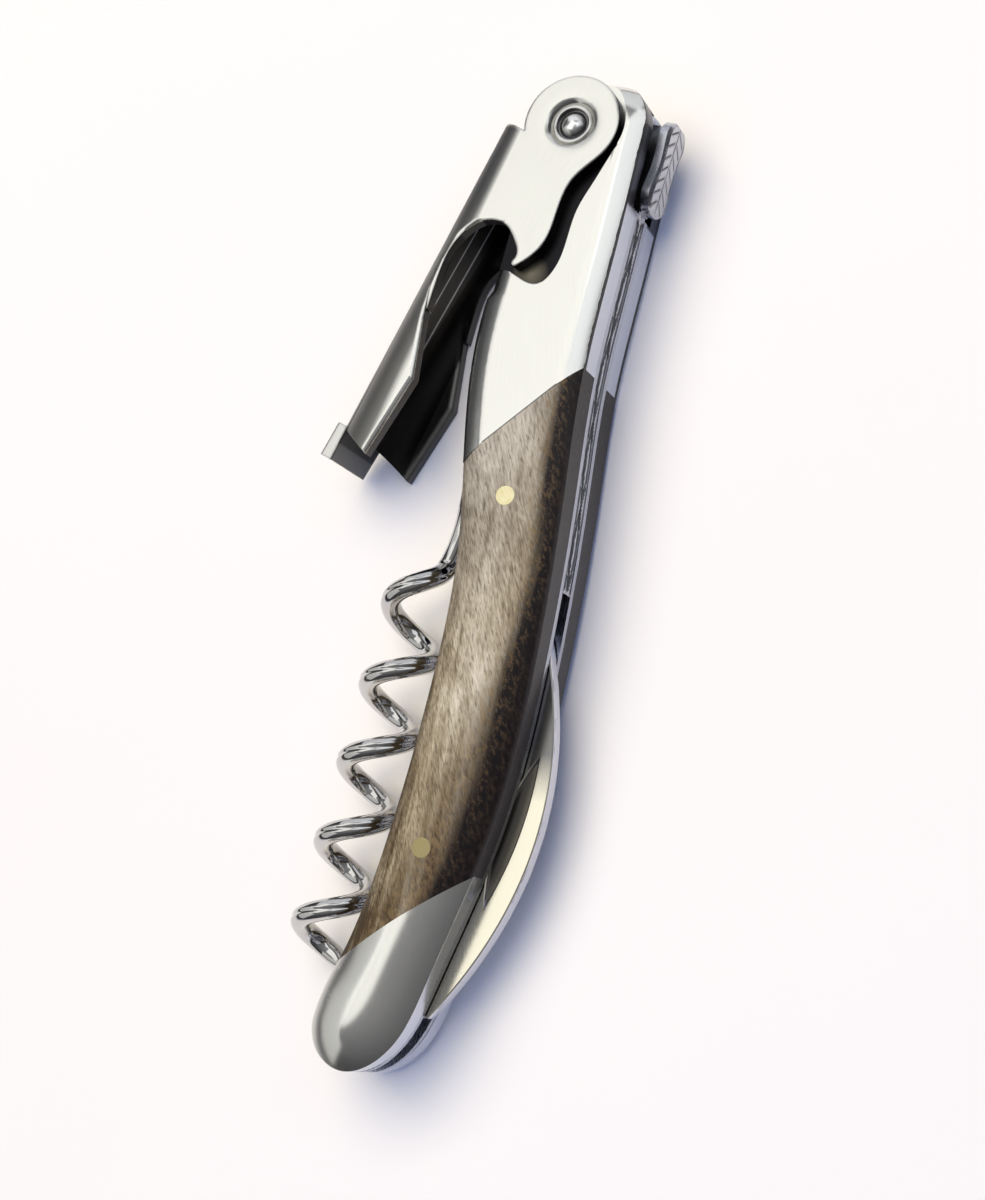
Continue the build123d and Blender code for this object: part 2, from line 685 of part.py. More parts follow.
# Shift to the shared frame and write the files
NODES = {
    "liner_near": liner_near,
    "liner_far": liner_far,
    "head_bolster_near": head_bolster_near,
    "head_bolster_far": head_bolster_far,
    "tail_bolster_near": tail_bolster_near,
    "tail_bolster_far": tail_bolster_far,
    "scale_near": scale_near,
    "scale_far": scale_far,
    "scale_pins_near": scale_pins_near,
    "scale_pins_far": scale_pins_far,
    "head_pins_near": head_pins_near,
    "head_pins_far": head_pins_far,
    "tail_pins_near": tail_pins_near,
    "tail_pins_far": tail_pins_far,
    "back_spring": back_spring,
    "spring_cap": spring_cap,
    "spring_pins": spring_pins,
    "blade_spring": blade_spring,
    "blade_spring_pins": blade_spring_pins,
    "worm_pin": worm_pin,
    "blade_pin": blade_pin,
    "lever": lever,
    "lever_pin": lever_pin,
    "lever_washers": lever_washers,
    "lever_cam": lever_cam,
    "worm": worm,
    "blade": blade,
}
boxes = [piece.part.bounding_box() for piece in NODES.values()]
low = Vector(min(b.min.X for b in boxes), min(b.min.Y for b in boxes), min(b.min.Z for b in boxes))
high = Vector(max(b.max.X for b in boxes), max(b.max.Y for b in boxes), max(b.max.Z for b in boxes))
shift = Vector(-(low.X + high.X) / 2, -(low.Y + high.Y) / 2, -low.Z)

os.makedirs("parts", exist_ok=True)
for node, piece in NODES.items():
    placed = piece.part.moved(Location(shift))
    placed.label = node
    export_step(placed, f"parts/{node}.step")
    print(node, "valid", placed.is_valid, "solids", len(placed.solids()), "volume", round(placed.volume, 2))

print("size", [round(high.X - low.X, 3), round(high.Y - low.Y, 3), round(high.Z - low.Z, 3)])
print("shift", [round(shift.X, 4), round(shift.Y, 4), round(shift.Z, 4)])
for name, place in (
    ("lever_swing", (PIVOT_X, PIVOT_Y)),
    ("worm_swing", (WORM_X, WORM_Y)),
    ("blade_swing", (BLADE_X, BLADE_Y)),
):
    print(name, [round(place[0] + shift.X, 4), round(place[1] + shift.Y, 4), round(shift.Z, 4)])

# Least gap of the worm's wire to itself, on points at least half a turn apart
coil_points = [coil_point(k / 48)[0] for k in range(12 * quarters)]
nearest = min((b - a).length for i, a in enumerate(coil_points) for b in coil_points[i + 24 :])
print("worm wire, least gap to itself", round(nearest - WIRE, 2), "quarter turns", quarters)
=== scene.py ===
# Folding lever corkscrew with a foil knife: its looks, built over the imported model.
from math import cos, pi, radians, sin

import bmesh
import bpy
import numpy as np
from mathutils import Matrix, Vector


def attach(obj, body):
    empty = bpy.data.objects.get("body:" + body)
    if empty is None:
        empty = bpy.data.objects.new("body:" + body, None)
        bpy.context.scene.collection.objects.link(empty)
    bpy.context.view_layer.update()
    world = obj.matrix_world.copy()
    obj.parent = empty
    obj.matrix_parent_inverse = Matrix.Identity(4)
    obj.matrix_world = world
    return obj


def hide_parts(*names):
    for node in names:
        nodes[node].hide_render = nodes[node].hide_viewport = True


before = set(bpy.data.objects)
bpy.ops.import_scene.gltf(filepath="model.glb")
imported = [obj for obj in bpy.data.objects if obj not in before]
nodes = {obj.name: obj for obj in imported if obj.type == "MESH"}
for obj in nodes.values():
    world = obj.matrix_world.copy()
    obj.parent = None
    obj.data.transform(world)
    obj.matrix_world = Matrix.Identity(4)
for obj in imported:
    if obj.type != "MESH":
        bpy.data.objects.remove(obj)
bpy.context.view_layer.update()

# Millimetres of the handle's own frame, and its place in the shared frame
MM = 0.001
SHIFT = Vector((-60.2, -6.3437, 7.0))

# Meshes: merging distances in metres, angles in degrees, how level faces are and counts of points
MERGE = 1e-7
MERGE_CAD = 1e-6
SHARP = 35.0
WORM_SHARP = 50.0
CUT_SHARP = 28.0
EASED_SHARP = 20.0
RIM_ANGLE = 40.0
FLAT_ANGLE = 0.3
LEVEL = 0.9999
UPRIGHT = 0.02
LINE_POINTS = 600
END_POINTS = 120
CORNER_POINTS = 60
RIM_POINTS = 400
SCALE_MESH = (150, 45)
TAIL_MESH = (170, 40)
CAP_MESH = (160, 75)
SHANK_STEPS = 16
TURN_STEPS = 40
WIRE_SIDES = 56
EYE_SIDES = 72
TURNED_SIDES = 96
SPRING_STEPS = 520
SEAT_STEPS = 8
SPRING_RING = 31
DOME_STEPS = 14
WASHER_STEPS = 12

# Covers: bolsters and scales over the liners
MID = 2.2
COVER = 4.8
EDGE_WALL = (2.6, 3.8)
ON_EDGE = 0.02
FACE = MID + COVER
CROWN_TAIL = 5.8
CROWN_HEAD = 2.8
CROWN_RUN = (36.0, 76.0)
CROWN_TOP = 2.4
CROWN_FADE = 3.0
CROWN_MATCH = 0.12
HEAD_CORNER = (115.396, 2.65)
HEAD_CORNER_R = 5.004
HEAD_CORNER_TURN = -87.66
PIN_PROUD = 0.03
BACK_POINTS = [
    (115.6, -2.35),
    (100.4, -3.25),
    (85.4, -4.2),
    (70.4, -6.5),
    (50.02, -9.2),
    (30.98, -9.95),
    (12.0, -7.75),
    (3.4, -5.4),
    (0.0, -0.4),
]
BELLY_POINTS = [
    (92.4, 10.7),
    (84.0, 10.1),
    (72.0, 7.3),
    (60.0, 4.3),
    (42.02, 2.6),
    (25.02, 2.3),
    (14.0, 3.05),
]
TAIL_POINTS = [(14.0, 3.05), (8.5, 4.15), (5.0, 4.4)]
TAIL_SLOPE = 0.15
TAIL_MIDDLE = -0.4
TAIL_END = 5.0
CUT_HEAD = ((84.9, -4.0), (71.5, 6.7))
CUT_TAIL = ((25.9, -10.0), (12.05, 3.1))

# Worm
WORM = (82.5, 5.0)
EYE_R = 4.2
EYE_FLAT = 3.95
EYE_HALF = 1.2
EYE_HOLE = 1.55
EYE_EDGE = 0.15
WIRE_R = 1.25
COIL_R = 3.37
PITCH = 9.69
TURNS = 5.0
POINT_TURNS = 0.25
POINT_THICK = 0.12
COIL_TOP = (57.3, 9.85)
COIL_TILT = 2.0
EASE_TURNS = 0.75
EASE_MOVE = (1.1, 1.05)
EASE_R = 0.62
SHANK_POINTS = [(80.0, 6.0), (72.0, 7.9), (66.0, 7.3)]
SHANK_SLOPES = (0.22, -0.05, -0.12)
GROOVE = 0.16
GROOVE_ANGLE = 16.0

# Back spring and its cap: places across them are shares of their half width
LEAF_HALF = 1.2
SPRING_FOOT = 59.6
CAP_START = 106.6
CAP_END = 118.4
CAP_TOP = -4.4
CAP_HALF = 3.0
CAP_CORNER = 2.4
CAP_BEVEL = 0.3
CAP_PLATE = 1.3
CAP_SCALLOP = 0.6
CAP_LOBE = 8.4
CAP_SHORT = 0.1
CAP_FOOT = 0.2
CAP_INSET = 0.3
SEAT_SHORT = 0.8
SPRING_INSIDE = [
    (59.6, -4.4),
    (74.0, -1.5),
    (79.0, 0.75),
    (86.0, 0.75),
    (93.5, -0.6),
    (101.2, -0.2),
    (108.2, 1.5),
    (118.2, 1.5),
]
VINE_LENGTH = 21.0
VINE_DEPTH = 0.35
VINE_HALF = 0.29
VINE_SWING = 0.5
VINE_BORDER = 0.7
CUT_BORDER = 0.84
CARVE_FOOT = 0.6
CARVE_HEAD = 1.2
CARVE_RIM = 0.2
CHEVRON_STEP = 1.5
CHEVRON_START = 20
CHEVRON_DEPTH = 0.16
CHEVRON_SLANT = 1.9
CHEVRON_CUT = 0.2
CHEVRON_ROW = 0.42
CHEVRON_REACH = 0.34
CHEVRON_RIM = 0.06
CHEVRON_SPINE = 0.05

# Lever, blade and the recess that the lever lies in
PIVOT = (114.2, 6.6)
LEVER_REST = 13.5
SPINE = 8.85
SHEET = 1.6
BEND_HEAD = 1.9
BEND_GROWTH = 0.081
BEND_START = -9.0
WALL_END = 46.7
STRIP_START = 3.0
STRIP_SHADE_END = 24.0
NEAR_LINE = (1.3, 0.22)
FAR_LINE = (1.6, 0.28)
LIP_HALF = 4.6
MOUTH_RIM = [
    (14.4, 1.4),
    (15.3, 4.0),
    (17.9, 5.6),
    (21.4, 6.0),
    (24.5, 5.45),
    (27.7, 4.65),
    (31.8, 3.0),
    (36.0, 1.4),
    (46.7, 2.0),
]
RIM_LONG = 50.0
RIM_HIGH = 10.0
RIM_BAND = 1.0
RIM_DROP = 8.0
CHEEK_IN = 5.4
RECESS_FLOOR = 5.3
POCKET = (95.4, 6.5)
POCKET_R = 2.4
RECESS_LIGHT = 118.4
BLADE_HALF = 1.0
NICK_FLOOR = 0.6
NICK_BACK = -8.6
BLADE_SHADE = 35.5
DISH_R = 3.1
DISH_SOFT = 4.5
LEVER_EDGE = 0.4
LEVER_EASE = 0.22
HEAD_EASE = 0.15
BLADE_EASE = 0.25
PIN_R = 2.0
PIN_CHAMFER = 0.05
PIN_TOP = 6.95
DOME_R = 1.72
DOME_HEIGHT = 0.85
DOME_FOOT = 0.04
DOME_GROOVE = 0.1
WASHER_R = 2.45
WASHER_LOW = 6.2
WASHER_HIGH = 6.6
WASHER_ROUND = 0.10

# Scales: the wood's areas in shares of their length or width, and the place where the pins' painted
# shade begins
HEART_AND_SHADE = 0.395
WOOD_TAIL = 0.48
WOOD_HEAD = 0.62
WOOD_EDGE = 0.68
WOOD_SHEEN = 0.13
BRASS_SHADE = 50.0

# Stage, in metres, degrees and millimetres of lens
FLOOR_REACH = 3.0
FLOOR_DROP = 0.00005
FLOOR_NEAR = 0.10
FLOOR_FADE = 0.30
CAMERA_AT = (-0.029332, -0.104131, 0.221161)
CAMERA_TURN = (13.712, 21.658, -71.298)
CAMERA_LENS = 60.0
CAMERA_CLIP = 0.01


def at(x, y, z=0.0):
    """Place in the shared frame, in metres, of a point in the handle's millimetres."""
    return (Vector((x, y, z)) + SHIFT) * MM


class Value:
    """One socket of a node tree. Arithmetic on values adds Math nodes to the tree."""

    def __init__(self, tree, socket):
        self.tree = tree
        self.socket = socket

    def math(self, operation, *terms):
        return self.tree.node("ShaderNodeMath", {"operation": operation}, dict(enumerate(terms)))

    def __add__(self, other):
        return self.math("ADD", self, other)

    def __sub__(self, other):
        return self.math("SUBTRACT", self, other)

    def __rsub__(self, other):
        return self.math("SUBTRACT", other, self)

    def __mul__(self, other):
        return self.math("MULTIPLY", self, other)

    def __truediv__(self, other):
        return self.math("DIVIDE", self, other)

    def __pow__(self, other):
        return self.math("POWER", self, other)

    def __abs__(self):
        return self.math("ABSOLUTE", self)

    def top(self, other):
        return self.math("MAXIMUM", self, other)

    def within(self):
        """The value held between 0 and 1."""
        return self.math("MINIMUM", self.math("MAXIMUM", self, 0.0), 1.0)

    def past(self, start, slope):
        """Share that grows from 0 at a start, by a slope, to 1."""
        return ((self - start) * slope).within()

    def before(self, end, slope):
        """Share that falls, by a slope, to 0 at an end."""
        return ((end - self) * slope).within()

    def line(self, half):
        """Share of a line round 0: 1 in its middle and 0 half its width away."""
        return (1 - abs(self) / half).within()


class Tree:
    """A shader or geometry node tree, with one way to add any node."""

    def __init__(self, tree):
        self.tree = tree

    def node(self, kind, settings=None, inputs=None, output=0):
        """Adds a node of any kind and returns one of its outputs."""
        made = self.tree.nodes.new(kind)
        for name, value in (settings or {}).items():
            if name == "stops":
                self.set_stops(made.color_ramp.elements, value)
            else:
                setattr(made, name, value)
        for name, value in (inputs or {}).items():
            self.feed(made.inputs[name], value)
        return Value(self, made.outputs[output])

    def feed(self, socket, value):
        """Links a value to a socket, or sets the socket to a plain one."""
        if isinstance(value, Value):
            self.tree.links.new(value.socket, socket)
        else:
            socket.default_value = value

    @staticmethod
    def set_stops(elements, stops):
        while len(elements) < len(stops):
            elements.new(1.0)
        for element, (place, colour) in zip(elements, stops):
            element.position = place
            element.color = (*colour, 1.0)

    def parts(self, vector):
        """The three parts of a vector."""
        split = self.node("ShaderNodeSeparateXYZ", inputs={"Vector": vector})
        return [Value(self, part) for part in split.socket.node.outputs]

    def noise(self, vector, size, detail=3.0, rough=0.55):
        """Noise between 0 and 1 with marks of a size in millimetres."""
        inputs = {"Vector": vector, "Scale": 1.0 / (size * MM), "Detail": detail, "Roughness": rough}
        return self.node("ShaderNodeTexNoise", inputs=inputs)

    def stretch(self, vector, turn, times):
        """A vector on which a noise is drawn out some times along a direction turned about Z."""
        settings = {"vector_type": "TEXTURE"}
        inputs = {"Vector": vector, "Rotation": (0, 0, radians(turn)), "Scale": (times, 1.0, 1.0)}
        return self.node("ShaderNodeMapping", settings, inputs)

    def mix(self, factor, first, second):
        """Colour between two colours."""
        return self.node("ShaderNodeMix", {"data_type": "RGBA"}, {0: factor, 6: first, 7: second}, 2)

    def ramp(self, factor, stops):
        return self.node("ShaderNodeValToRGB", {"stops": stops}, {"Fac": factor})


class Finish(Tree):
    """A material on one principled shader, with its object coordinates ready."""

    def __init__(self, name):
        self.material = bpy.data.materials.new(name)
        self.material.use_nodes = True
        super().__init__(self.material.node_tree)
        self.shader = self.tree.nodes["Principled BSDF"]
        self.place = self.node("ShaderNodeTexCoord", output="Object")

    def spots(self):
        """The three parts of the place, in the handle's millimetres."""
        return [part / MM - shift for part, shift in zip(self.parts(self.place), SHIFT)]

    def rise(self):
        """How far the surface faces up, from -1 to 1."""
        return self.parts(self.node("ShaderNodeNewGeometry", output="Normal"))[2]

    def paint(self, sockets):
        """Feeds the shader's sockets by name."""
        for name, value in sockets.items():
            self.feed(self.shader.inputs[name], value)

    def bump(self, height, strength, depth, edge=0.0):
        """Normal of a height between 0 and 1, its depth in millimetres, on edges rounded off."""
        inputs = {"Strength": strength, "Distance": depth * MM, "Height": height}
        if edge:
            inputs["Normal"] = self.node("ShaderNodeBevel", inputs={"Radius": edge * MM})
        self.paint({"Normal": self.node("ShaderNodeBump", inputs=inputs)})


def colour(red, green, blue):
    """Opaque colour."""
    return (red, green, blue, 1.0)


# Finishes
def steel(name, bright, dull, rough, scratch, along=0.0, ripple=0.0, areas=None, dish=None, edge=0.0):
    """Steel with drawn-out polishing marks, smudges and a slight hand-polished ripple.

    Areas are shares of the surface, each with its own colour and roughness, the last perhaps matt.
    """
    made = Finish(name)
    smudge = made.noise(made.place, 9.0, 4.0)
    hairs = made.noise(made.stretch(made.place, along, 25.0), 0.16, 2.0)
    marks = made.noise(made.stretch(made.place, along + 24.0, 20.0), 0.3, 3.0)
    scuff = marks.past(0.62, 6.0) * smudge.past(0.42, 4.0)
    tone = ((smudge - 0.5) * 0.9 + (hairs - 0.5) * 0.7 + 0.5).within()
    base = made.mix(tone, dull, bright)
    rub = (smudge - 0.5) * 0.10 + (hairs - 0.5) * scratch + scuff * 0.10 + rough
    metal = 1.0
    for share, shade, grain, *matt in (areas(made) if areas else []):
        base = made.mix(share, base, shade)
        rub = rub * (1 - share) + share * grain
        metal = 1 - share * matt[0] if matt else metal
    made.paint({"Base Color": base, "Metallic": metal, "Roughness": rub.within()})
    height = made.noise(made.place, 6.0, 1.0) * ripple + hairs * 0.12 * scratch
    if dish:
        height = height + dish(made)
    made.bump(height, 0.5, 0.1, edge)
    return made.material


def cut_line_shade_areas(made):
    """Painted shade in the cut lines."""
    groove = made.node("ShaderNodeAttribute", {"attribute_name": "groove"}, output="Fac")
    return [(groove.within() * 0.92, colour(0.020, 0.019, 0.024), 0.45)]


def lever_place(made):
    """Place along the lever from its pivot, out towards its spine and from the middle plane."""
    x, y, z = made.spots()
    turn = radians(LEVER_REST)
    along = (PIVOT[0] - x) * cos(turn) + (y - PIVOT[1]) * sin(turn)
    out = (x - PIVOT[0]) * sin(turn) + (y - PIVOT[1]) * cos(turn)
    return along, out, z


def mouth_band(made, along, out):
    """Share of the rounded band beside the rim of the lever's mouth, 1 at the rim."""
    stops = [(s / RIM_LONG, (n / RIM_HIGH,) * 3) for s, n in MOUTH_RIM]
    rim = made.ramp(along / RIM_LONG, stops) * RIM_HIGH
    beside = (1 - (out - rim) / RIM_BAND).within() * ((out - rim + 0.2) * 10.0).within()
    return beside * (along - MOUTH_RIM[0][0] + 0.5).within()


def lever_areas(made):
    """Satin bend along the spine, its darker colour painted shade, darker still near the pivot; painted
    shade inside and on the mouth's cut rims, with a few painted highlight lines inside.
    """
    along, out, z = lever_place(made)
    bend = (along - BEND_START) * BEND_GROWTH + BEND_HEAD
    rise = abs(made.rise())
    lip_side = rise.past(0.97, 50.0) * abs(z).before(LIP_HALF + 0.2, 10.0)
    strip = (out - SPINE + bend + 0.5).within() * along.before(WALL_END + 0.4, 4.0)
    band = mouth_band(made, along, out)
    strip = strip * along.past(STRIP_START, 2.0) * (1 - lip_side) * (1 - band * 3.0).within()
    rim = rise.before(0.35, 10.0) * out.before(SPINE - SHEET - 0.3, 4.0)
    rim = rim * ((abs(z) - CHEEK_IN + 0.1) * 10.0).within()
    inside = abs(z).before(CHEEK_IN + 0.1, 8.0) * out.before(SPINE - SHEET + 0.1, 8.0)
    lines = (z + FAR_LINE[0]).line(FAR_LINE[1]) + (z - NEAR_LINE[0]).line(NEAR_LINE[1])
    deep = ((out - SPINE + SHEET + 0.5) * 4.0).within() * along.before(WALL_END - 4.0, 0.5)
    lines = lines.within() * inside * deep
    # Painted shade on the strip, the inside and the rims; painted highlight on the lines.
    return [
        (strip, colour(0.29, 0.287, 0.27), 0.46),
        (strip * along.before(STRIP_SHADE_END, 0.08), colour(0.17, 0.168, 0.165), 0.50),
        (lip_side, colour(0.74, 0.735, 0.70), 0.30),
        (inside, colour(0.022, 0.021, 0.022), 0.42),
        (rim, colour(0.08, 0.078, 0.082), 0.34),
        (lines, colour(0.95, 0.94, 0.90), 0.40, 0.9),
    ]


def lever_relief(made):
    """Height of the soft dish that is pressed round the lever's pin and of the mouth's rounded rim."""
    along, out, _ = lever_place(made)
    share = (((along**2 + out**2) ** 0.5 - DISH_R) / (DISH_SOFT - DISH_R)).within()
    return (1 - (1 - share) ** 2) * 1.3 - mouth_band(made, along, out) ** 2 * RIM_DROP


def recess_shade_areas(made):
    """Painted cool reflection on the back wall, painted shade beside the spring's cap and in the recess
    behind the lever's cheek, and a tan patch of painted reflection in its pocket.
    """
    x, y, z = made.spots()
    rise = made.rise()
    wall = abs(rise).before(0.35, 10.0) * ((abs(z) - RECESS_FLOOR + 0.1) * 10.0).within()
    floor = abs(rise).past(0.9, 20.0) * abs(z).before(RECESS_FLOOR + 0.3, 10.0)
    pocket = (1 - ((x - POCKET[0]) ** 2 + (y - POCKET[1]) ** 2) ** 0.5 / POCKET_R).within()
    back = abs(rise).before(0.45, 5.0) * (1.0 - y).within()
    beside = abs(rise).before(0.55, 8.0) * ((x - CAP_START + 0.8) * 3.0).within()
    recess = wall.top(floor) * x.before(RECESS_LIGHT, 0.3)
    # Painted reflection on the back wall and in the pocket; painted shade beside the cap and in the
    # recess.
    return [
        (back, colour(0.58, 0.61, 0.70), 0.20),
        (beside * (0.8 - y).within(), colour(0.065, 0.065, 0.080), 0.30),
        (recess, colour(0.020, 0.019, 0.021), 0.35),
        (recess * pocket, colour(0.22, 0.20, 0.15), 0.40),
    ]


def dome_shade_areas(made):
    """Painted shade on the pin's dome, from near its middle out to its foot."""
    x, y, _ = made.spots()
    reach = ((x - PIVOT[0]) ** 2 + (y - PIVOT[1]) ** 2) ** 0.5
    return [(((reach - 0.8) / 0.7).within() * 0.92, colour(0.075, 0.073, 0.078), 0.28)]


def tail_wall_reflection(made):
    """Painted cool reflection on the tail's straight walls."""
    wall = abs(made.rise()).before(0.45, 5.0)
    return [(wall, colour(0.66, 0.68, 0.76), 0.22)]


def blade_areas(made):
    """Rougher floor of the long nail nick, darkened as painted shade, painted shade on the upper face
    up at the spring's foot, and painted cool reflection on the edges.
    """
    x, y, z = made.spots()
    low = z.before(0.97, 20.0) * ((z - NICK_FLOOR + 0.1) * 20.0).within()
    nick = low * y.before(NICK_BACK, 10.0)
    upper_shade = x.past(BLADE_SHADE, 0.18) * made.rise().past(0.8, 10.0)
    # Painted shade on the upper face and the nick's floor; painted cool reflection on the edges.
    return [
        (upper_shade, colour(0.22, 0.215, 0.21), 0.24),
        (nick, colour(0.30, 0.275, 0.23), 0.34),
        (abs(made.rise()).before(0.75, 6.0), colour(0.60, 0.61, 0.68), 0.22),
    ]


def scale_wood():
    """Figured wood: greyish tan with short dark pores, browner at the tail, with a dark heartwood along
    the back that is partly painted shade, and a painted grey sheen at the back edge.
    """
    made = Finish("figured_wood")
    along, across, _ = made.parts(made.node("ShaderNodeUVMap", {"uv_map": "cover"}))
    clouds = made.noise(made.stretch(made.place, 25.0, 2.0), 5.5, 4.0, 0.6)
    drift = made.noise(made.stretch(made.place, 8.0, 3.0), 11.0, 2.0, 0.5)
    bands = made.noise(made.stretch(made.place, 6.0, 14.0), 1.1, 3.0, 0.55)
    fibres = made.noise(made.stretch(made.place, 30.0, 7.0), 0.20, 2.0, 0.6)
    pores = made.noise(made.stretch(made.place, 28.0, 4.0), 0.34, 2.0).past(0.55, 9.0)
    fuzz = made.noise(made.stretch(made.place, 34.0, 2.0), 0.55, 4.0, 0.75)
    tail = along.before(WOOD_TAIL, 2.3)
    head = along.past(WOOD_HEAD, 3.0)
    edge = across.past(WOOD_EDGE, 3.6)
    golden = drift.past(0.36, 3.0) * (1 - head * 0.8)
    reach = (clouds - 0.5) * 0.16 + (bands - 0.5) * 0.14 + (fuzz - 0.5) * 0.16
    reach = reach + HEART_AND_SHADE - along * 0.15 + head * 0.05 - across
    # Dark heartwood along the back, partly the wood's own figure and partly painted shade on the slope
    # facing away from the light.
    heart_and_shade = (reach * 11.0 + 0.4).within()
    halo = ((reach + 0.05 + tail * 0.24) * (7.0 - tail * 4.0) + 0.5).within()
    tone = (clouds - 0.5) * 1.3 + (fibres - 0.5) * 0.85 + (bands - 0.5) * (tail * 1.5 + 0.6) + 0.62
    tone = tone - tail * 0.36 - edge * 0.46 - head * 0.02
    wood = made.ramp(tone.within(), [
        (0.0, (0.045, 0.030, 0.014)),
        (0.25, (0.150, 0.115, 0.066)),
        (0.50, (0.330, 0.282, 0.196)),
        (0.75, (0.530, 0.475, 0.366)),
        (1.0, (0.720, 0.670, 0.555)),
    ])
    grey = made.mix(tone.within(), colour(0.10, 0.092, 0.084), colour(0.58, 0.55, 0.51))
    gold = made.mix(tone.within(), colour(0.09, 0.055, 0.020), colour(0.64, 0.55, 0.36))
    wood = made.mix(golden * 0.5, made.mix(head * 0.55, wood, grey), gold)
    wood = made.mix(pores * 0.5, wood, colour(0.060, 0.042, 0.026))
    brown = made.mix(fuzz.past(0.42, 5.0), colour(0.042, 0.025, 0.013), colour(0.190, 0.128, 0.056))
    # Painted grey sheen along the back edge.
    painted_sheen = across.before(WOOD_SHEEN, 10.0) * (1 - head) * 0.7
    flecks = fuzz.past(0.50, 7.0) * (1 - reach * 5.0).within() * (1 - tail * 0.6)
    dark = made.mix(fuzz.past(0.44, 4.0), colour(0.006, 0.004, 0.004), colour(0.026, 0.017, 0.011))
    dark = made.mix(painted_sheen, dark, colour(0.062, 0.057, 0.058))
    dark = made.mix(flecks, dark, colour(0.140, 0.092, 0.040))
    made.paint({
        "Base Color": made.mix(heart_and_shade, made.mix(halo * 0.72, wood, brown), dark),
        "Roughness": (fibres * 0.20 + 0.30).within(),
        "Specular IOR Level": 0.24,
        "Coat Weight": 0.05,
        "Coat Roughness": 0.20,
    })
    made.bump(fibres * 0.5 - pores * 0.8 + bands * 0.3, 0.35, 0.03)
    return made.material


def pin_brass():
    """Flat filed brass with turning marks and a little tarnish, darker at the tail as painted shade."""
    made = Finish("pin_brass")
    # Painted shade on the pins towards the tail.
    dull = made.spots()[0].before(BRASS_SHADE, 0.2) * 0.8
    file_marks = made.noise(made.stretch(made.place, 40.0, 16.0), 0.12, 2.0)
    tarnish = made.noise(made.place, 0.9, 3.0)
    tone = ((file_marks - 0.5) * 0.8 + tarnish).within()
    bright = made.mix(tone, colour(0.68, 0.57, 0.28), colour(0.97, 0.92, 0.62))
    made.paint({
        "Base Color": made.mix(dull, bright, colour(0.23, 0.18, 0.075)),
        "Metallic": 1.0,
        "Roughness": (tarnish * 0.2 + 0.24).within(),
    })
    made.bump(file_marks, 0.3, 0.02)
    return made.material


BOLSTER = steel(
    "bolster_polish", colour(0.78, 0.775, 0.73), colour(0.66, 0.655, 0.62),
    rough=0.21, scratch=0.03, along=16.0, ripple=0.12, areas=tail_wall_reflection
)
HEAD = steel(
    "head_polish", colour(0.80, 0.795, 0.75), colour(0.72, 0.715, 0.68),
    rough=0.18, scratch=0.06, along=16.0, ripple=0.06, areas=recess_shade_areas
)
LEVER = steel(
    "lever_polish", colour(0.79, 0.785, 0.74), colour(0.68, 0.675, 0.64),
    rough=0.15, scratch=0.12, along=-14.0, ripple=0.06,
    areas=lever_areas, dish=lever_relief, edge=LEVER_EDGE
)
# The liners' bluish tint is painted reflection of the blue shadow beside them.
LINER = steel(
    "liner_satin", colour(0.54, 0.56, 0.64), colour(0.39, 0.41, 0.48),
    rough=0.26, scratch=0.18, along=4.0, ripple=0.05
)
SPRING = steel(
    "spring_satin", colour(0.58, 0.595, 0.65), colour(0.39, 0.40, 0.45),
    rough=0.25, scratch=0.16, along=4.0, ripple=0.05, areas=cut_line_shade_areas
)
WORM_STEEL = steel(
    "worm_bright", colour(0.67, 0.66, 0.64), colour(0.50, 0.495, 0.48),
    rough=0.09, scratch=0.08, ripple=0.03
)
BLADE_STEEL = steel(
    "blade_satin", colour(0.86, 0.82, 0.67), colour(0.74, 0.70, 0.57),
    rough=0.18, scratch=0.18, along=18.0, ripple=0.06, areas=blade_areas
)
PIN_STEEL = steel(
    "pin_polish", colour(0.70, 0.695, 0.67), colour(0.50, 0.495, 0.48),
    rough=0.15, scratch=0.10, ripple=0.04
)
# The pin's dome is bright polish with painted shade on its sides.
PIVOT_STEEL = steel(
    "pivot_dark", colour(0.90, 0.895, 0.86), colour(0.84, 0.835, 0.81),
    rough=0.20, scratch=0.0, areas=dome_shade_areas
)
WOOD = scale_wood()
BRASS = pin_brass()


# Curves of the handle's side view
def hermite(u, first, slope, last, last_slope):
    """Point a share of the way from a first to a last point, with slopes over the whole way."""
    start = (2 * u**3 - 3 * u**2 + 1) * first + (u**3 - 2 * u**2 + u) * slope
    return start + (3 * u**2 - 2 * u**3) * last + (u**3 - u**2) * last_slope


def smooth_line(points, start, end, count=LINE_POINTS):
    """Even points on a smooth curve through points, with headings at both ends."""
    spots = np.array(points, float)
    steps = np.linalg.norm(np.diff(spots, axis=0), axis=1)
    knots = np.concatenate([[0.0], np.cumsum(steps)])
    size = len(spots)
    matrix = np.zeros((size, size))
    wanted = np.zeros_like(spots)
    matrix[0, 0] = 1.0
    matrix[-1, -1] = 1.0
    wanted[0] = np.array(start) / np.linalg.norm(start)
    wanted[-1] = np.array(end) / np.linalg.norm(end)
    for i in range(1, size - 1):
        before, after = steps[i - 1], steps[i]
        matrix[i, i - 1 : i + 2] = after, 2 * (before + after), before
        slope_in = (spots[i] - spots[i - 1]) / before
        slope_out = (spots[i + 1] - spots[i]) / after
        wanted[i] = 3 * (after * slope_in + before * slope_out)
    slopes = np.linalg.solve(matrix, wanted)
    t = np.linspace(0, knots[-1], count)
    k = np.clip(np.searchsorted(knots, t, "right") - 1, 0, size - 2)
    h = steps[k][:, None]
    u = ((t - knots[k]) / steps[k])[:, None]
    return hermite(u, spots[k], h * slopes[k], spots[k + 1], h * slopes[k + 1])


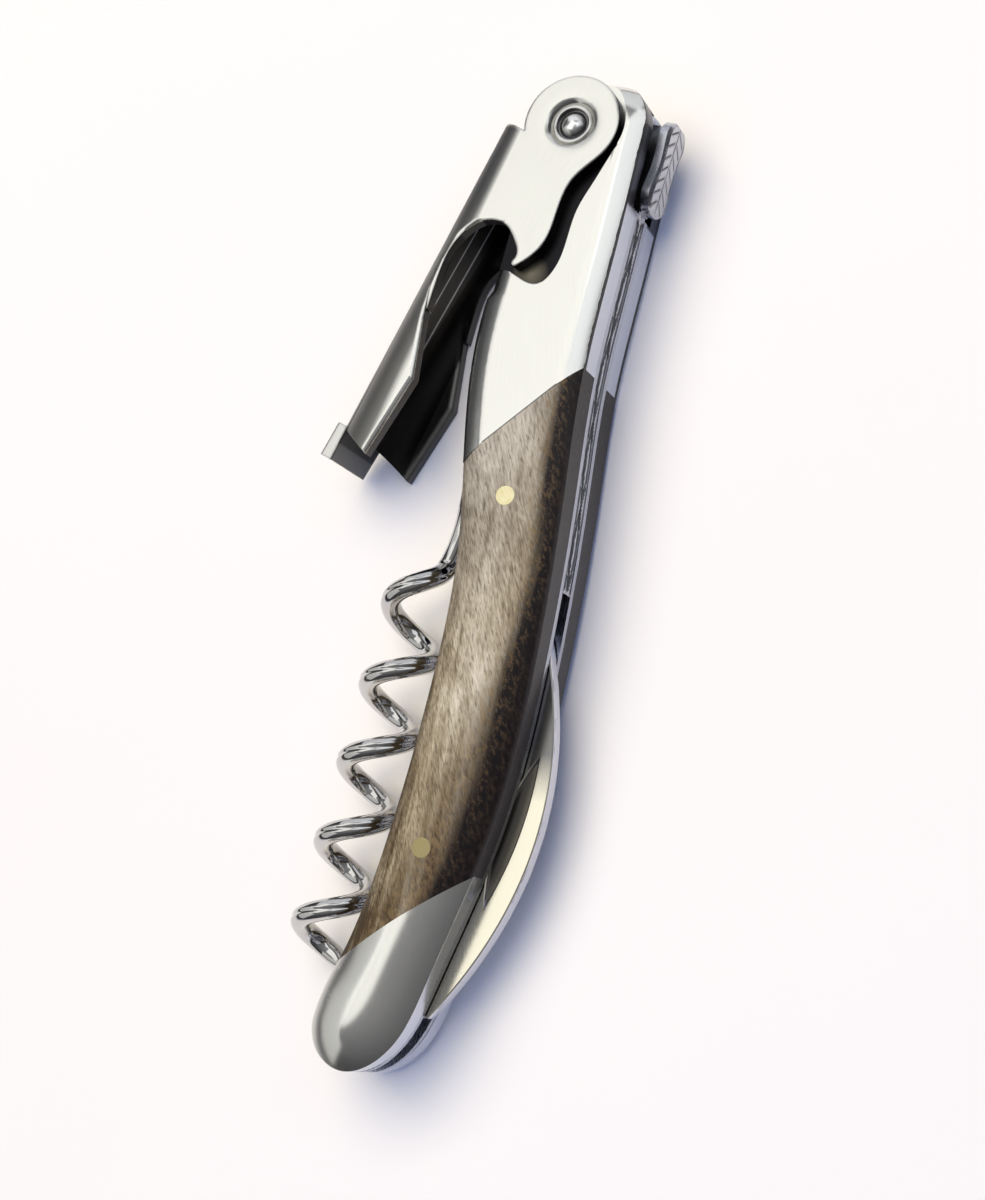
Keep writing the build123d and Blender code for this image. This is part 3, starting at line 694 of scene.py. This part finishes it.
def crossing(line, cut):
    """Place along a line of points, counted in points, where it crosses a cut."""
    (ax, ay), (bx, by) = cut
    side = (line[:, 0] - ax) * (by - ay) - (line[:, 1] - ay) * (bx - ax)
    k = int(np.nonzero(np.diff(np.sign(side)))[0][0])
    return k + side[k] / (side[k] - side[k + 1])


def stretch_of(line, first, last, count):
    """Even points of a line between two places counted in points."""
    places = np.linspace(first, last, count)
    index = np.arange(len(line))
    return np.stack([np.interp(places, index, line[:, axis]) for axis in (0, 1)], axis=1)


back_line = smooth_line(BACK_POINTS, (-1, -0.041), (0, 1))
belly_line = smooth_line(BELLY_POINTS, (-1, -0.02), (-1, TAIL_SLOPE))
tail_belly = smooth_line(TAIL_POINTS, (-1, TAIL_SLOPE), (-1, 0), END_POINTS)
quarter = np.linspace(pi / 2, pi, END_POINTS)
tail_round = np.stack([
    TAIL_END + TAIL_END * np.cos(quarter),
    TAIL_MIDDLE + (TAIL_POINTS[-1][1] - TAIL_MIDDLE) * np.sin(quarter),
], axis=1)
belly_whole = np.concatenate([belly_line, tail_belly[1:], tail_round[1:]])
handle_outline = np.concatenate([back_line, belly_whole[::-1]])
corner_turn = np.radians(np.linspace(0, HEAD_CORNER_TURN, CORNER_POINTS))
corner_line = HEAD_CORNER + HEAD_CORNER_R * np.stack([np.cos(corner_turn), np.sin(corner_turn)], axis=1)
head_back = np.concatenate([corner_line, back_line[1:]])


def edge_distance(spots, line):
    """Distance of points from a line of points, in the side view."""
    near = np.full(len(spots), np.inf)
    for a, b in zip(line, line[1:]):
        run = b - a
        long = run @ run
        share = np.clip((spots - a) @ run / long, 0, 1) if long else np.zeros(len(spots))
        near = np.minimum(near, np.linalg.norm(spots - a - share[:, None] * run, axis=1))
    near[near < ON_EDGE] = 0.0
    return near


def crown_height(plan):
    """Height of a cover over the middle plane: a straight wall, then a gentle rise to the flat."""
    spots = plan.reshape(-1, 2)
    width = np.interp(spots[:, 0], CROWN_RUN, (CROWN_TAIL, CROWN_HEAD))
    wall = np.interp(spots[:, 0], CROWN_RUN, EDGE_WALL)
    left = 1 - np.clip(edge_distance(spots, handle_outline) / width, 0, 1)
    return (MID + COVER - PIN_PROUD - (COVER - wall) * left**2).reshape(plan.shape[:2])


# Pieces from points and faces
def smooth_mesh(mesh, sharp):
    """Merges a mesh's double points, turns its faces outward and shades it smooth up to sharp edges."""
    work = bmesh.new()
    work.from_mesh(mesh)
    bmesh.ops.remove_doubles(work, verts=work.verts, dist=MERGE)
    bmesh.ops.recalc_face_normals(work, faces=work.faces)
    work.to_mesh(mesh)
    work.free()
    mesh.polygons.foreach_set("use_smooth", [True] * len(mesh.polygons))
    mesh.set_sharp_from_angle(angle=radians(sharp))


def dress(mesh, material):
    """Gives a mesh one finish."""
    mesh.materials.clear()
    mesh.materials.append(material)


def add_piece(name, mesh, body, node=None):
    """Adds a mesh to the scene as a piece on a body, in place of a CAD node where one is named."""
    piece = bpy.data.objects.new(name, mesh)
    bpy.context.scene.collection.objects.link(piece)
    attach(piece, body)
    if node:
        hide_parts(node)


def grid_faces(rows, columns, start=0):
    """Faces of a grid of points that begins at a number."""
    firsts = [start + i * columns + j for i in range(rows - 1) for j in range(columns - 1)]
    return [(a, a + 1, a + columns + 1, a + columns) for a in firsts]


def grid_rim(rows, columns):
    """Numbers of the points round a grid."""
    rim = [i * columns for i in range(rows)]
    rim += [(rows - 1) * columns + j for j in range(1, columns)]
    rim += [i * columns + columns - 1 for i in range(rows - 2, -1, -1)]
    return rim + list(range(columns - 2, 0, -1))


def ring_faces(low, high, count):
    """Faces between two rings of points that begin at two numbers."""
    after = [*range(1, count), 0]
    return [(low + k, low + n, high + n, high + k) for k, n in enumerate(after)]


def circle(count):
    """Even angles round a circle."""
    return [2 * pi * k / count for k in range(count)]


def mesh_piece(name, points, faces, material, body, node=None, spots=None):
    """A piece of the object from points in the handle's millimetres."""
    mesh = bpy.data.meshes.new(name)
    mesh.from_pydata([at(*p) for p in points], [], faces)
    if spots is not None:
        layer = mesh.uv_layers.new(name="cover")
        for loop in mesh.loops:
            layer.data[loop.index].uv = spots[loop.vertex_index]
    smooth_mesh(mesh, SHARP)
    dress(mesh, material)
    add_piece(name, mesh, body, node)


def cover_piece(name, plan, side, material, node):
    """A cover on one side of the handle: crowned outside, flat on the liner."""
    rows, columns = plan.shape[:2]
    height = crown_height(plan)
    points = []
    spots = []
    for level in (height, np.full_like(height, MID)):
        for i in range(rows):
            for j in range(columns):
                points.append((*plan[i, j], side * level[i, j]))
                spots.append((i / (rows - 1), j / (columns - 1)))
    floor = rows * columns
    faces = grid_faces(rows, columns) + grid_faces(rows, columns, floor)
    rim = grid_rim(rows, columns)
    faces += [(a, floor + a, floor + b, b) for a, b in zip(rim, rim[1:] + rim[:1])]
    mesh_piece(name, points, faces, material, "handle", node, spots)


def scale_plan():
    """Grid of the wooden scale's side view, from the tail's cut to the head's."""
    rows, columns = SCALE_MESH
    back, belly = [
        stretch_of(line, crossing(line, CUT_TAIL), crossing(line, CUT_HEAD), rows)
        for line in (back_line, belly_whole)
    ]
    share = (1 - np.cos(np.linspace(0, pi, columns))) / 2
    return back[:, None] * (1 - share[None, :, None]) + belly[:, None] * share[None, :, None]


def tail_plan():
    """Grid of the tail bolster's side view, from its cut out to the outline."""
    rows, columns = TAIL_MESH
    back, belly = [
        stretch_of(line, crossing(line, CUT_TAIL), len(line) - 1, RIM_POINTS)
        for line in (back_line, belly_whole)
    ]
    rim = np.concatenate([back, belly[::-1][1:]])
    run = np.concatenate([[0], np.cumsum(np.linalg.norm(np.diff(rim, axis=0), axis=1))])
    even = np.linspace(0, run[-1], rows)
    rim = np.stack([np.interp(even, run, rim[:, axis]) for axis in (0, 1)], axis=1)
    share = np.linspace(0, 1, rows)[:, None]
    cut = rim[0] * (1 - share) + rim[-1] * share
    out = np.sin(np.linspace(0, pi / 2, columns))[None, :, None]
    return cut[:, None] * (1 - out) + rim[:, None] * out


scale_grid = scale_plan()
tail_grid = tail_plan()
for side, where in ((1, "near"), (-1, "far")):
    cover_piece(f"wood_scale_{where}", scale_grid, side, WOOD, f"scale_{where}")
    cover_piece(
        f"domed_tail_{where}", tail_grid, side, BOLSTER, f"tail_bolster_{where}"
    )


# Geometry Nodes
def geometry_tree(name, sizes):
    """A geometry tree with named sizes: the tree, its mesh input and its sizes as values."""
    group = bpy.data.node_groups.new(name, "GeometryNodeTree")
    group.interface.new_socket("Geometry", in_out="INPUT", socket_type="NodeSocketGeometry")
    group.interface.new_socket("Geometry", in_out="OUTPUT", socket_type="NodeSocketGeometry")
    for size in sizes:
        group.interface.new_socket(size, in_out="INPUT", socket_type="NodeSocketFloat")
    made = Tree(group)
    start = group.nodes.new("NodeGroupInput")
    values = {socket.name: Value(made, socket) for socket in start.outputs if socket.name}
    return made, values


def close_tree(made, geometry, material):
    """Ends a tree in Realize Instances and Set Material."""
    whole = made.node("GeometryNodeRealizeInstances", inputs={"Geometry": geometry})
    dressed = made.node("GeometryNodeSetMaterial", inputs={"Geometry": whole, "Material": material})
    made.feed(made.tree.nodes.new("NodeGroupOutput").inputs[0], dressed)
    return made.tree


def attribute(made, name, kind="FLOAT"):
    """A named number or arrow of the mesh's points."""
    return made.node("GeometryNodeInputNamedAttribute", {"data_type": kind}, {"Name": name})


def grown(name, base, tree, sizes, body, node, sharp):
    """A plain mesh piece from a base mesh and a geometry tree with its sizes set."""
    holder = bpy.data.objects.new(name + "_base", base)
    bpy.context.scene.collection.objects.link(holder)
    modifier = holder.modifiers.new("grow", "NODES")
    modifier.node_group = tree
    for item in tree.interface.items_tree:
        if item.in_out == "INPUT" and item.name in sizes:
            modifier[item.identifier] = sizes[item.name]
    evaluated = holder.evaluated_get(bpy.context.evaluated_depsgraph_get())
    mesh = bpy.data.meshes.new_from_object(evaluated)
    mesh.name = name
    holder.modifiers.clear()
    bpy.data.objects.remove(holder)
    smooth_mesh(mesh, sharp)
    add_piece(name, mesh, body, node)


def base_mesh(name, points, edges, faces, numbers=None, arrows=None):
    """A mesh in the handle's millimetres that carries named numbers and arrows on its points."""
    mesh = bpy.data.meshes.new(name)
    mesh.from_pydata([at(*p) for p in points], edges, faces)
    for key, values in (numbers or {}).items():
        layer = mesh.attributes.new(key, "FLOAT", "POINT")
        layer.data.foreach_set("value", np.array(values, float).ravel())
    for key, values in (arrows or {}).items():
        layer = mesh.attributes.new(key, "FLOAT_VECTOR", "POINT")
        layer.data.foreach_set("vector", np.array(values, float).ravel())
    return mesh


# Worm: eye, shank and grooved coil
def coil_point(turn):
    """Place of the wire's middle after a number of turns and its outward side."""
    tilt = radians(COIL_TILT)
    axis = np.array([-cos(tilt), -sin(tilt), 0.0])
    side = np.array([-sin(tilt), cos(tilt), 0.0])
    ease = max(0.0, 1 - turn / EASE_TURNS)
    a = pi - 2 * pi * turn
    out = side * cos(a) + np.array([0.0, 0.0, sin(a)])
    middle = np.array([*COIL_TOP, 0.0]) + np.array([*EASE_MOVE, 0.0]) * ease + axis * PITCH * turn
    return middle + out * (COIL_R - EASE_R * ease), out


def worm_path():
    """Points along the worm's wire, the side that its groove faces and its thickness."""
    knots = []
    for (x, y), slope in zip(SHANK_POINTS, SHANK_SLOPES):
        heading = np.array([-1.0, slope, 0.0])
        knots.append((np.array([x, y, 0.0]), heading / np.linalg.norm(heading)))
    first, out = coil_point(0.0)
    heading = coil_point(0.01)[0] - coil_point(-0.01)[0]
    knots.append((first, heading / np.linalg.norm(heading)))
    spots = []
    for (p, t), (q, s) in zip(knots, knots[1:]):
        span = np.linalg.norm(q - p)
        for u in np.linspace(0, 1, SHANK_STEPS, endpoint=False):
            spots.append(hermite(u, p, span * t, q, span * s))
    outs = [out] * len(spots)
    thick = [1.0] * len(spots)
    steps = int(TURNS * TURN_STEPS)
    for k in range(steps + 1):
        turn = TURNS * k / steps
        place, out = coil_point(turn)
        spots.append(place)
        outs.append(out)
        left = (TURNS - turn) / POINT_TURNS
        thick.append(min(1.0, POINT_THICK + (1 - POINT_THICK) * left))
    return spots, outs, thick


def wire_tree():
    """A grooved wire along a path, as thick as the path says."""
    made, size = geometry_tree("grooved_wire", ["Wire", "Groove", "Groove width"])
    path = made.node("GeometryNodeMeshToCurve", inputs={"Mesh": size["Geometry"]})
    facing = {"Curve": path, "Normal": attribute(made, "outward", "FLOAT_VECTOR")}
    path = made.node("GeometryNodeSetCurveNormal", {"mode": "FREE"}, facing)
    round_wire = {"Resolution": WIRE_SIDES, "Radius": size["Wire"]}
    ring = made.node("GeometryNodeCurvePrimitiveCircle", inputs=round_wire)
    spot = made.node("GeometryNodeInputPosition")
    x, y, _ = made.parts(spot)
    dip = y.math("ARCTAN2", y, x).line(size["Groove width"]) * size["Groove"]
    inward = {0: spot, "Scale": dip / size["Wire"] * -1}
    offset = made.node("ShaderNodeVectorMath", {"operation": "SCALE"}, inward)
    ring = made.node("GeometryNodeSetPosition", inputs={"Geometry": ring, "Offset": offset})
    sweep = {"Curve": path, "Profile Curve": ring, "Scale": attribute(made, "thick"), "Fill Caps": True}
    return close_tree(made, made.node("GeometryNodeCurveToMesh", inputs=sweep), WORM_STEEL)


def worm_piece():
    """The worm's wire, swept along its path."""
    spots, outs, thick = worm_path()
    edges = [(k, k + 1) for k in range(len(spots) - 1)]
    base = base_mesh("worm_path", spots, edges, [], {"thick": thick}, {"outward": outs})
    sizes = {"Wire": WIRE_R * MM, "Groove": GROOVE * MM, "Groove width": radians(GROOVE_ANGLE)}
    grown("grooved_worm", base, wire_tree(), sizes, "worm", "worm", WORM_SHARP)


def worm_eye():
    """Flat eye of the worm with a hole for its pin and a flat for the spring."""
    wall = EYE_HALF - EYE_EDGE
    points = []
    for z, grow in ((-EYE_HALF, -EYE_EDGE), (-wall, 0.0), (wall, 0.0), (EYE_HALF, -EYE_EDGE)):
        for a in circle(EYE_SIDES):
            reach = EYE_R + grow
            if sin(a) < 0:
                reach = min(reach, (EYE_FLAT + grow) / -sin(a))
            points.append((WORM[0] + reach * cos(a), WORM[1] + reach * sin(a), z))
    for z in (EYE_HALF, -EYE_HALF):
        for a in circle(EYE_SIDES):
            points.append((WORM[0] + EYE_HOLE * cos(a), WORM[1] + EYE_HOLE * sin(a), z))
    rings = range(0, len(points), EYE_SIDES)
    faces = []
    for low, high in zip(rings, [*rings[1:], 0]):
        faces += ring_faces(low, high, EYE_SIDES)
    mesh_piece("worm_eye", points, faces, WORM_STEEL, "worm")


worm_piece()
worm_eye()


# Back spring with a filed vine
def cut_in(made, geometry, cut, offset):
    """Moves a surface into cut lines and keeps their share of the cut as groove."""
    settings = {"data_type": "FLOAT", "domain": "POINT"}
    kept = {"Geometry": geometry, "Name": "groove", "Value": cut}
    marked = made.node("GeometryNodeStoreNamedAttribute", settings, kept)
    return made.node("GeometryNodeSetPosition", inputs={"Geometry": marked, "Offset": offset})


def filework_tree():
    """Two crossing waves and two border lines, cut into the spring's back."""
    made, size = geometry_tree("filed_vine", ["Wave", "Depth", "Line"])
    along = attribute(made, "along")
    across = attribute(made, "across")
    wave = along.math("SINE", along * (2 * pi) / size["Wave"]) * VINE_SWING
    first = (across - wave).line(size["Line"])
    second = (across + wave).line(size["Line"])
    border = (abs(across) - CUT_BORDER).line(size["Line"] * VINE_BORDER)
    cut = first.top(second).top(border) * attribute(made, "carved")
    arrow = attribute(made, "outward", "FLOAT_VECTOR")
    inward = {0: arrow, "Scale": cut * size["Depth"] * -1}
    offset = made.node("ShaderNodeVectorMath", {"operation": "SCALE"}, inward)
    return close_tree(made, cut_in(made, size["Geometry"], cut, offset), SPRING)


def spring_piece():
    """The back spring: filed along the back, plain inside, with a seat for the cap."""
    stations = [(x, float(np.interp(x, back_line[::-1, 0], back_line[::-1, 1])), 1.0)
                for x in np.linspace(SPRING_FOOT, CAP_START, SPRING_STEPS)]
    seat = np.linspace(CAP_START + 0.01, CAP_END - SEAT_SHORT, SEAT_STEPS)
    stations += [(x, CAP_TOP + CAP_PLATE, 0.0) for x in seat]
    inside_x, inside_y = zip(*SPRING_INSIDE)
    marks = []
    for k, (x, y, cut) in enumerate(stations):
        ahead = stations[min(k + 1, len(stations) - 1)]
        behind = stations[max(k - 1, 0)]
        run = np.array([ahead[0] - behind[0], ahead[1] - behind[1]])
        out = np.array([run[1], -run[0]]) / np.linalg.norm(run)
        ends = min(1.0, (x - SPRING_FOOT) / CARVE_FOOT, max(0.0, (CAP_START - x) / CARVE_HEAD))
        for share in np.linspace(-1, 1, SPRING_RING):
            marks.append(((x, y, share * LEAF_HALF), x - SPRING_FOOT, share, cut * ends, (*out, 0.0)))
        deep = float(np.interp(x, inside_x, inside_y))
        for share in (1, -1):
            marks.append(((x, deep, share * LEAF_HALF), 0.0, share, 0.0, (0.0, 0.0, 0.0)))
    points, along, across, carved, outward = zip(*marks)
    size = SPRING_RING + 2
    faces = []
    for k in range(len(stations) - 1):
        faces += ring_faces(k * size, (k + 1) * size, size)
    faces.append(tuple(range(size)))
    faces.append(tuple(range(len(points) - 1, len(points) - size - 1, -1)))
    numbers = {"along": along, "across": across, "carved": carved}
    base = base_mesh("spring_body", points, [], faces, numbers, {"outward": outward})
    sizes = {"Wave": VINE_LENGTH, "Depth": VINE_DEPTH * MM, "Line": VINE_HALF}
    tree = filework_tree()
    grown("filed_back_spring", base, tree, sizes, "handle", "back_spring", CUT_SHARP)


def chevron_tree():
    """Rows of slanting cuts either side of a spine, inside a border line."""
    made, size = geometry_tree("cut_chevrons", ["Step", "Depth"])
    along = attribute(made, "along")
    across = attribute(made, "across")
    slant = along + abs(across) * CHEVRON_SLANT
    phase = slant.math("FRACT", slant / size["Step"])
    dash = (phase - 0.5).line(CHEVRON_CUT)
    row = abs(abs(across) - CHEVRON_ROW).before(CHEVRON_REACH, 12.0)
    border = (abs(across) - CUT_BORDER).line(CHEVRON_RIM)
    spine = across.line(CHEVRON_SPINE)
    cut = (dash * row).top(border).top(spine) * attribute(made, "carved")
    lift = made.node("ShaderNodeCombineXYZ", inputs={"Y": cut * size["Depth"]})
    return close_tree(made, cut_in(made, size["Geometry"], cut, lift), SPRING)


def cap_piece():
    """The plate on the spring's head end: scalloped sides, bevelled rim and cut chevrons."""
    middle = (CAP_START + CAP_END) / 2
    half = (CAP_END - CAP_START) / 2 - CAP_SHORT
    rows, columns = CAP_MESH
    marks = []
    for x in half * np.sin(np.linspace(-pi / 2, pi / 2, rows)):
        past = max(0.0, abs(x) - (half - CAP_CORNER))
        wide = CAP_HALF - CAP_CORNER + (CAP_CORNER**2 - past**2) ** 0.5
        wide -= CAP_SCALLOP * (1 + cos(2 * pi * x / CAP_LOBE)) / 2 * (1 - past / CAP_CORNER)
        for share in np.sin(np.linspace(-pi / 2, pi / 2, columns)):
            edge = min(wide * (1 - abs(share)), half - abs(x))
            place = (middle + x, CAP_TOP + max(0.0, CAP_BEVEL - edge), share * wide)
            cut = min(1.0, max(0.0, (edge - CAP_BEVEL) / CARVE_RIM))
            marks.append((place, x + CHEVRON_START * CHEVRON_STEP, share, cut))
    top = len(marks)
    rim = grid_rim(rows, columns)
    count = len(rim)
    seat = CAP_TOP + CAP_PLATE
    for level, inset in ((seat, 0.0), (seat + CAP_FOOT, CAP_INSET)):
        for a in rim:
            x, _, z = marks[a][0]
            place = (middle + (x - middle) * (1 - inset / half), level, z * (1 - inset / CAP_HALF))
            marks.append((place, 0.0, 0.0, 0.0))
    points, along, across, carved = zip(*marks)
    faces = grid_faces(rows, columns)
    faces += [(rim[k], rim[n], top + n, top + k) for k, n in enumerate([*range(1, count), 0])]
    faces += ring_faces(top, top + count, count)
    faces.append(tuple(range(top + count, top + 2 * count)))
    numbers = {"along": along, "across": across, "carved": carved}
    base = base_mesh("cap_plate", points, [], faces, numbers)
    sizes = {"Step": CHEVRON_STEP, "Depth": CHEVRON_DEPTH * MM}
    tree = chevron_tree()
    grown("cut_spring_cap", base, tree, sizes, "handle", "spring_cap", CUT_SHARP)


spring_piece()
cap_piece()


# Copies of CAD pieces with their sharp edges eased
def gentle_crown(work):
    """Gives a head bolster's back and belly edge the gentle rise of the other covers."""
    spots = np.array([v.co / MM - SHIFT for v in work.verts])
    fall = COVER - EDGE_WALL[1]
    for line, axis, end, fade in (
        (head_back, 1, CROWN_TOP, CROWN_FADE),
        (belly_line, 0, BELLY_POINTS[0][0], 1.0),
    ):
        near = np.clip(edge_distance(spots[:, :2], line), 0, CROWN_HEAD)
        round_height = FACE - CROWN_HEAD + np.sqrt(CROWN_HEAD**2 - (CROWN_HEAD - near) ** 2)
        gentle = FACE - fall * (1 - near / CROWN_HEAD) ** 2
        share = np.clip((end - spots[:, axis]) / fade, 0, 1)
        for v, (_, _, z), old, new, part in zip(work.verts, spots, round_height, gentle, share):
            sloping = any(UPRIGHT < abs(f.normal.z) < LEVEL for f in v.link_faces)
            if sloping and abs(abs(z) - old) < CROWN_MATCH:
                v.co.z += (new - old) * part * MM * (1 if z > 0 else -1)


def eased(name, node, width, level, material, body, reshape=None):
    """A copy of a CAD piece with the rims eased of its faces at a level from the middle plane."""
    mesh = nodes[node].data.copy()
    mesh.name = name
    mesh.transform(nodes[node].matrix_world)
    work = bmesh.new()
    work.from_mesh(mesh)
    bmesh.ops.remove_doubles(work, verts=work.verts, dist=MERGE_CAD)
    if reshape:
        reshape(work)
    bmesh.ops.dissolve_limit(work, angle_limit=radians(FLAT_ANGLE), verts=work.verts, edges=work.edges)
    high = {v for v in work.verts if abs(abs(v.co.z / MM - SHIFT.z) - level) < ON_EDGE}
    edges = [e for e in work.edges if high.issuperset(e.verts) and e.is_manifold]
    edges = [e for e in edges if e.calc_face_angle() > radians(RIM_ANGLE)]
    bmesh.ops.bevel(
        work, geom=edges, offset=width * MM, offset_type="OFFSET", segments=2, profile=0.5,
        affect="EDGES", clamp_overlap=False
    )
    bmesh.ops.triangulate(work, faces=work.faces)
    bmesh.ops.remove_doubles(work, verts=work.verts, dist=MERGE)
    bmesh.ops.recalc_face_normals(work, faces=work.faces)
    for face in work.faces:
        face.smooth = True
    for edge in work.edges:
        flat = [abs(f.normal.z) > LEVEL for f in edge.link_faces]
        edge.smooth = edge.calc_face_angle(pi) < radians(EASED_SHARP) and any(flat) == all(flat)
    work.to_mesh(mesh)
    work.free()
    dress(mesh, material)
    add_piece(name, mesh, body, node)


eased("polished_lever", "lever", LEVER_EASE, FACE, LEVER, "lever")
for where in ("near", "far"):
    eased(
        f"polished_head_{where}", f"head_bolster_{where}", HEAD_EASE, FACE, HEAD,
        "handle", gentle_crown
    )
eased("polished_blade", "blade", BLADE_EASE, BLADE_HALF, BLADE_STEEL, "blade")


# Lever's pin with domed ends, and its rounded washers
def turned(name, node, profiles, material):
    """A piece turned about the lever's pin, from profiles of radius and height."""
    points = []
    faces = []
    for profile in profiles:
        start = len(points)
        for radius, z in profile:
            for a in circle(TURNED_SIDES):
                points.append((PIVOT[0] + radius * cos(a), PIVOT[1] + radius * sin(a), z))
        rings = [*range(start, len(points), TURNED_SIDES)]
        if profile[0][0]:
            rings.append(start)
        for low, high in zip(rings, rings[1:]):
            faces += ring_faces(low, high, TURNED_SIDES)
    mesh_piece(name, points, faces, material, "lever", node)


def pin_profile():
    """Half of the pin's outline from the top of its dome down to its groove, and the other half."""
    ball = (DOME_R**2 + DOME_HEIGHT**2) / (2 * DOME_HEIGHT)
    bend = np.linspace(0, np.arcsin(DOME_R / ball), DOME_STEPS)
    groove = WASHER_LOW - DOME_GROOVE
    half = [(ball * sin(t), PIN_TOP - ball * (1 - cos(t))) for t in bend]
    half += [(DOME_R + DOME_FOOT, groove), (PIN_R - PIN_CHAMFER, groove), (PIN_R, WASHER_LOW)]
    return half + [(radius, -z) for radius, z in reversed(half)]


def washer_profile(side):
    """Section of a washer with a rounded face."""
    middle = (PIN_R + WASHER_R) / 2
    wide = (WASHER_R - PIN_R) / 2
    tall = WASHER_ROUND
    arc = np.linspace(pi, 0, WASHER_STEPS)
    rounded = [(middle + wide * cos(a), WASHER_HIGH - tall + tall * sin(a)) for a in arc]
    return [(r, side * z) for r, z in [(PIN_R, WASHER_LOW), *rounded, (WASHER_R, WASHER_LOW)]]


turned("domed_lever_pin", "lever_pin", [pin_profile()], PIVOT_STEEL)
turned("round_washers", "lever_washers", [washer_profile(1), washer_profile(-1)], PIN_STEEL)

# Finishes of the CAD nodes that show as they are
NODE_FINISHES = {
    "liner_near": LINER,
    "liner_far": LINER,
    "scale_pins_near": BRASS,
    "scale_pins_far": BRASS,
    "head_pins_near": PIN_STEEL,
    "head_pins_far": PIN_STEEL,
    "tail_pins_near": PIN_STEEL,
    "tail_pins_far": PIN_STEEL,
    "spring_pins": PIN_STEEL,
    "blade_spring": SPRING,
    "blade_spring_pins": PIN_STEEL,
    "worm_pin": PIN_STEEL,
    "blade_pin": PIN_STEEL,
    "lever_cam": PIN_STEEL,
}
for node, material in NODE_FINISHES.items():
    dress(nodes[node].data, material)


# Stage: floor, world and lamps
def pale_floor():
    """Pale matt floor, dimmer far away where only polished metal mirrors it."""
    made = Finish("pale_floor")
    mirrored = made.node("ShaderNodeLightPath", output="Is Glossy Ray")
    reach = made.node("ShaderNodeVectorMath", {"operation": "LENGTH"}, {0: made.place}, "Value")
    far = ((reach - FLOOR_NEAR) / FLOOR_FADE).within() * mirrored
    mottle = made.noise(made.place, 40.0, 2.0)
    paper = made.mix(mottle, colour(0.89, 0.88, 0.875), colour(0.91, 0.90, 0.895))
    made.paint({
        "Base Color": made.mix(far, paper, colour(0.20, 0.20, 0.23)),
        "Roughness": 1.0,
        "Specular IOR Level": 0.0,
    })
    mesh = bpy.data.meshes.new("floor")
    corners = [(-1, -1), (1, -1), (1, 1), (-1, 1)]
    points = [(x * FLOOR_REACH, y * FLOOR_REACH, -FLOOR_DROP) for x, y in corners]
    mesh.from_pydata(points, [], [(0, 1, 2, 3)])
    mesh.materials.append(made.material)
    floor = bpy.data.objects.new("floor", mesh)
    bpy.context.scene.collection.objects.link(floor)


def studio_world():
    """Dim room, a little brighter overhead."""
    world = bpy.data.worlds.new("studio")
    world.use_nodes = True
    bpy.context.scene.world = world
    made = Tree(world.node_tree)
    height = made.parts(made.node("ShaderNodeTexCoord", output="Generated"))[2]
    room = made.ramp((height * 0.5 + 0.5).within(), [
        (0.0, (0.20, 0.20, 0.22)),
        (0.5, (0.05, 0.05, 0.055)),
        (0.70, (0.08, 0.08, 0.085)),
        (0.90, (0.20, 0.20, 0.21)),
        (1.0, (0.30, 0.30, 0.31)),
    ])
    made.feed(world.node_tree.nodes["Background"].inputs["Color"], room)


def lamp(name, place, target, size, radiance, tint, shiny):
    """Soft lamp, its face of a given brightness: a shiny one is only mirrored, another only lights."""
    data = bpy.data.lights.new(name, "AREA")
    data.shape = "RECTANGLE"
    data.size, data.size_y = size
    data.color = tint
    data.energy = radiance * pi * size[0] * size[1]
    made = bpy.data.objects.new(name, data)
    bpy.context.scene.collection.objects.link(made)
    made.location = place
    made.rotation_euler = (Vector(target) - Vector(place)).to_track_quat("-Z", "Y").to_euler()
    made.visible_camera = False
    made.visible_glossy = shiny
    made.visible_diffuse = not shiny


pale_floor()
studio_world()
lamp("overhead_panel", (0.09, 0.21, 0.60), (0, 0, 0), (0.62, 0.42), 1.02, (1.0, 0.99, 0.95), True)
lamp("cool_panel", (0.30, -0.26, 0.48), (0.05, 0, 0), (0.30, 0.52), 0.95, (0.93, 0.96, 1.0), True)
lamp("head_panel", (0.60, 0.15, 0.30), (0.05, 0, 0), (0.90, 0.60), 0.75, (0.93, 0.95, 1.0), True)
lamp("side_panel", (-0.34, 0.50, 0.36), (-0.05, 0, 0), (0.85, 0.55), 0.58, (1.0, 1.0, 0.98), True)
lamp("window", (0.38, 0.28, 1.40), (0, 0, 0), (1.30, 1.30), 4.45, (1.0, 0.855, 0.51), False)
lamp("room_fill", (0.0, -0.1, 1.0), (0, -0.1, 0), (1.8, 1.8), 0.97, (0.25, 0.42, 1.0), False)

# Camera
camera_data = bpy.data.cameras.new("camera")
camera_data.lens = CAMERA_LENS
camera = bpy.data.objects.new("camera", camera_data)
camera.location = CAMERA_AT
camera.rotation_euler = [radians(a) for a in CAMERA_TURN]
camera_data.clip_start = CAMERA_CLIP
bpy.context.scene.collection.objects.link(camera)
bpy.context.scene.camera = camera
bpy.context.scene.view_settings.view_transform = "Standard"
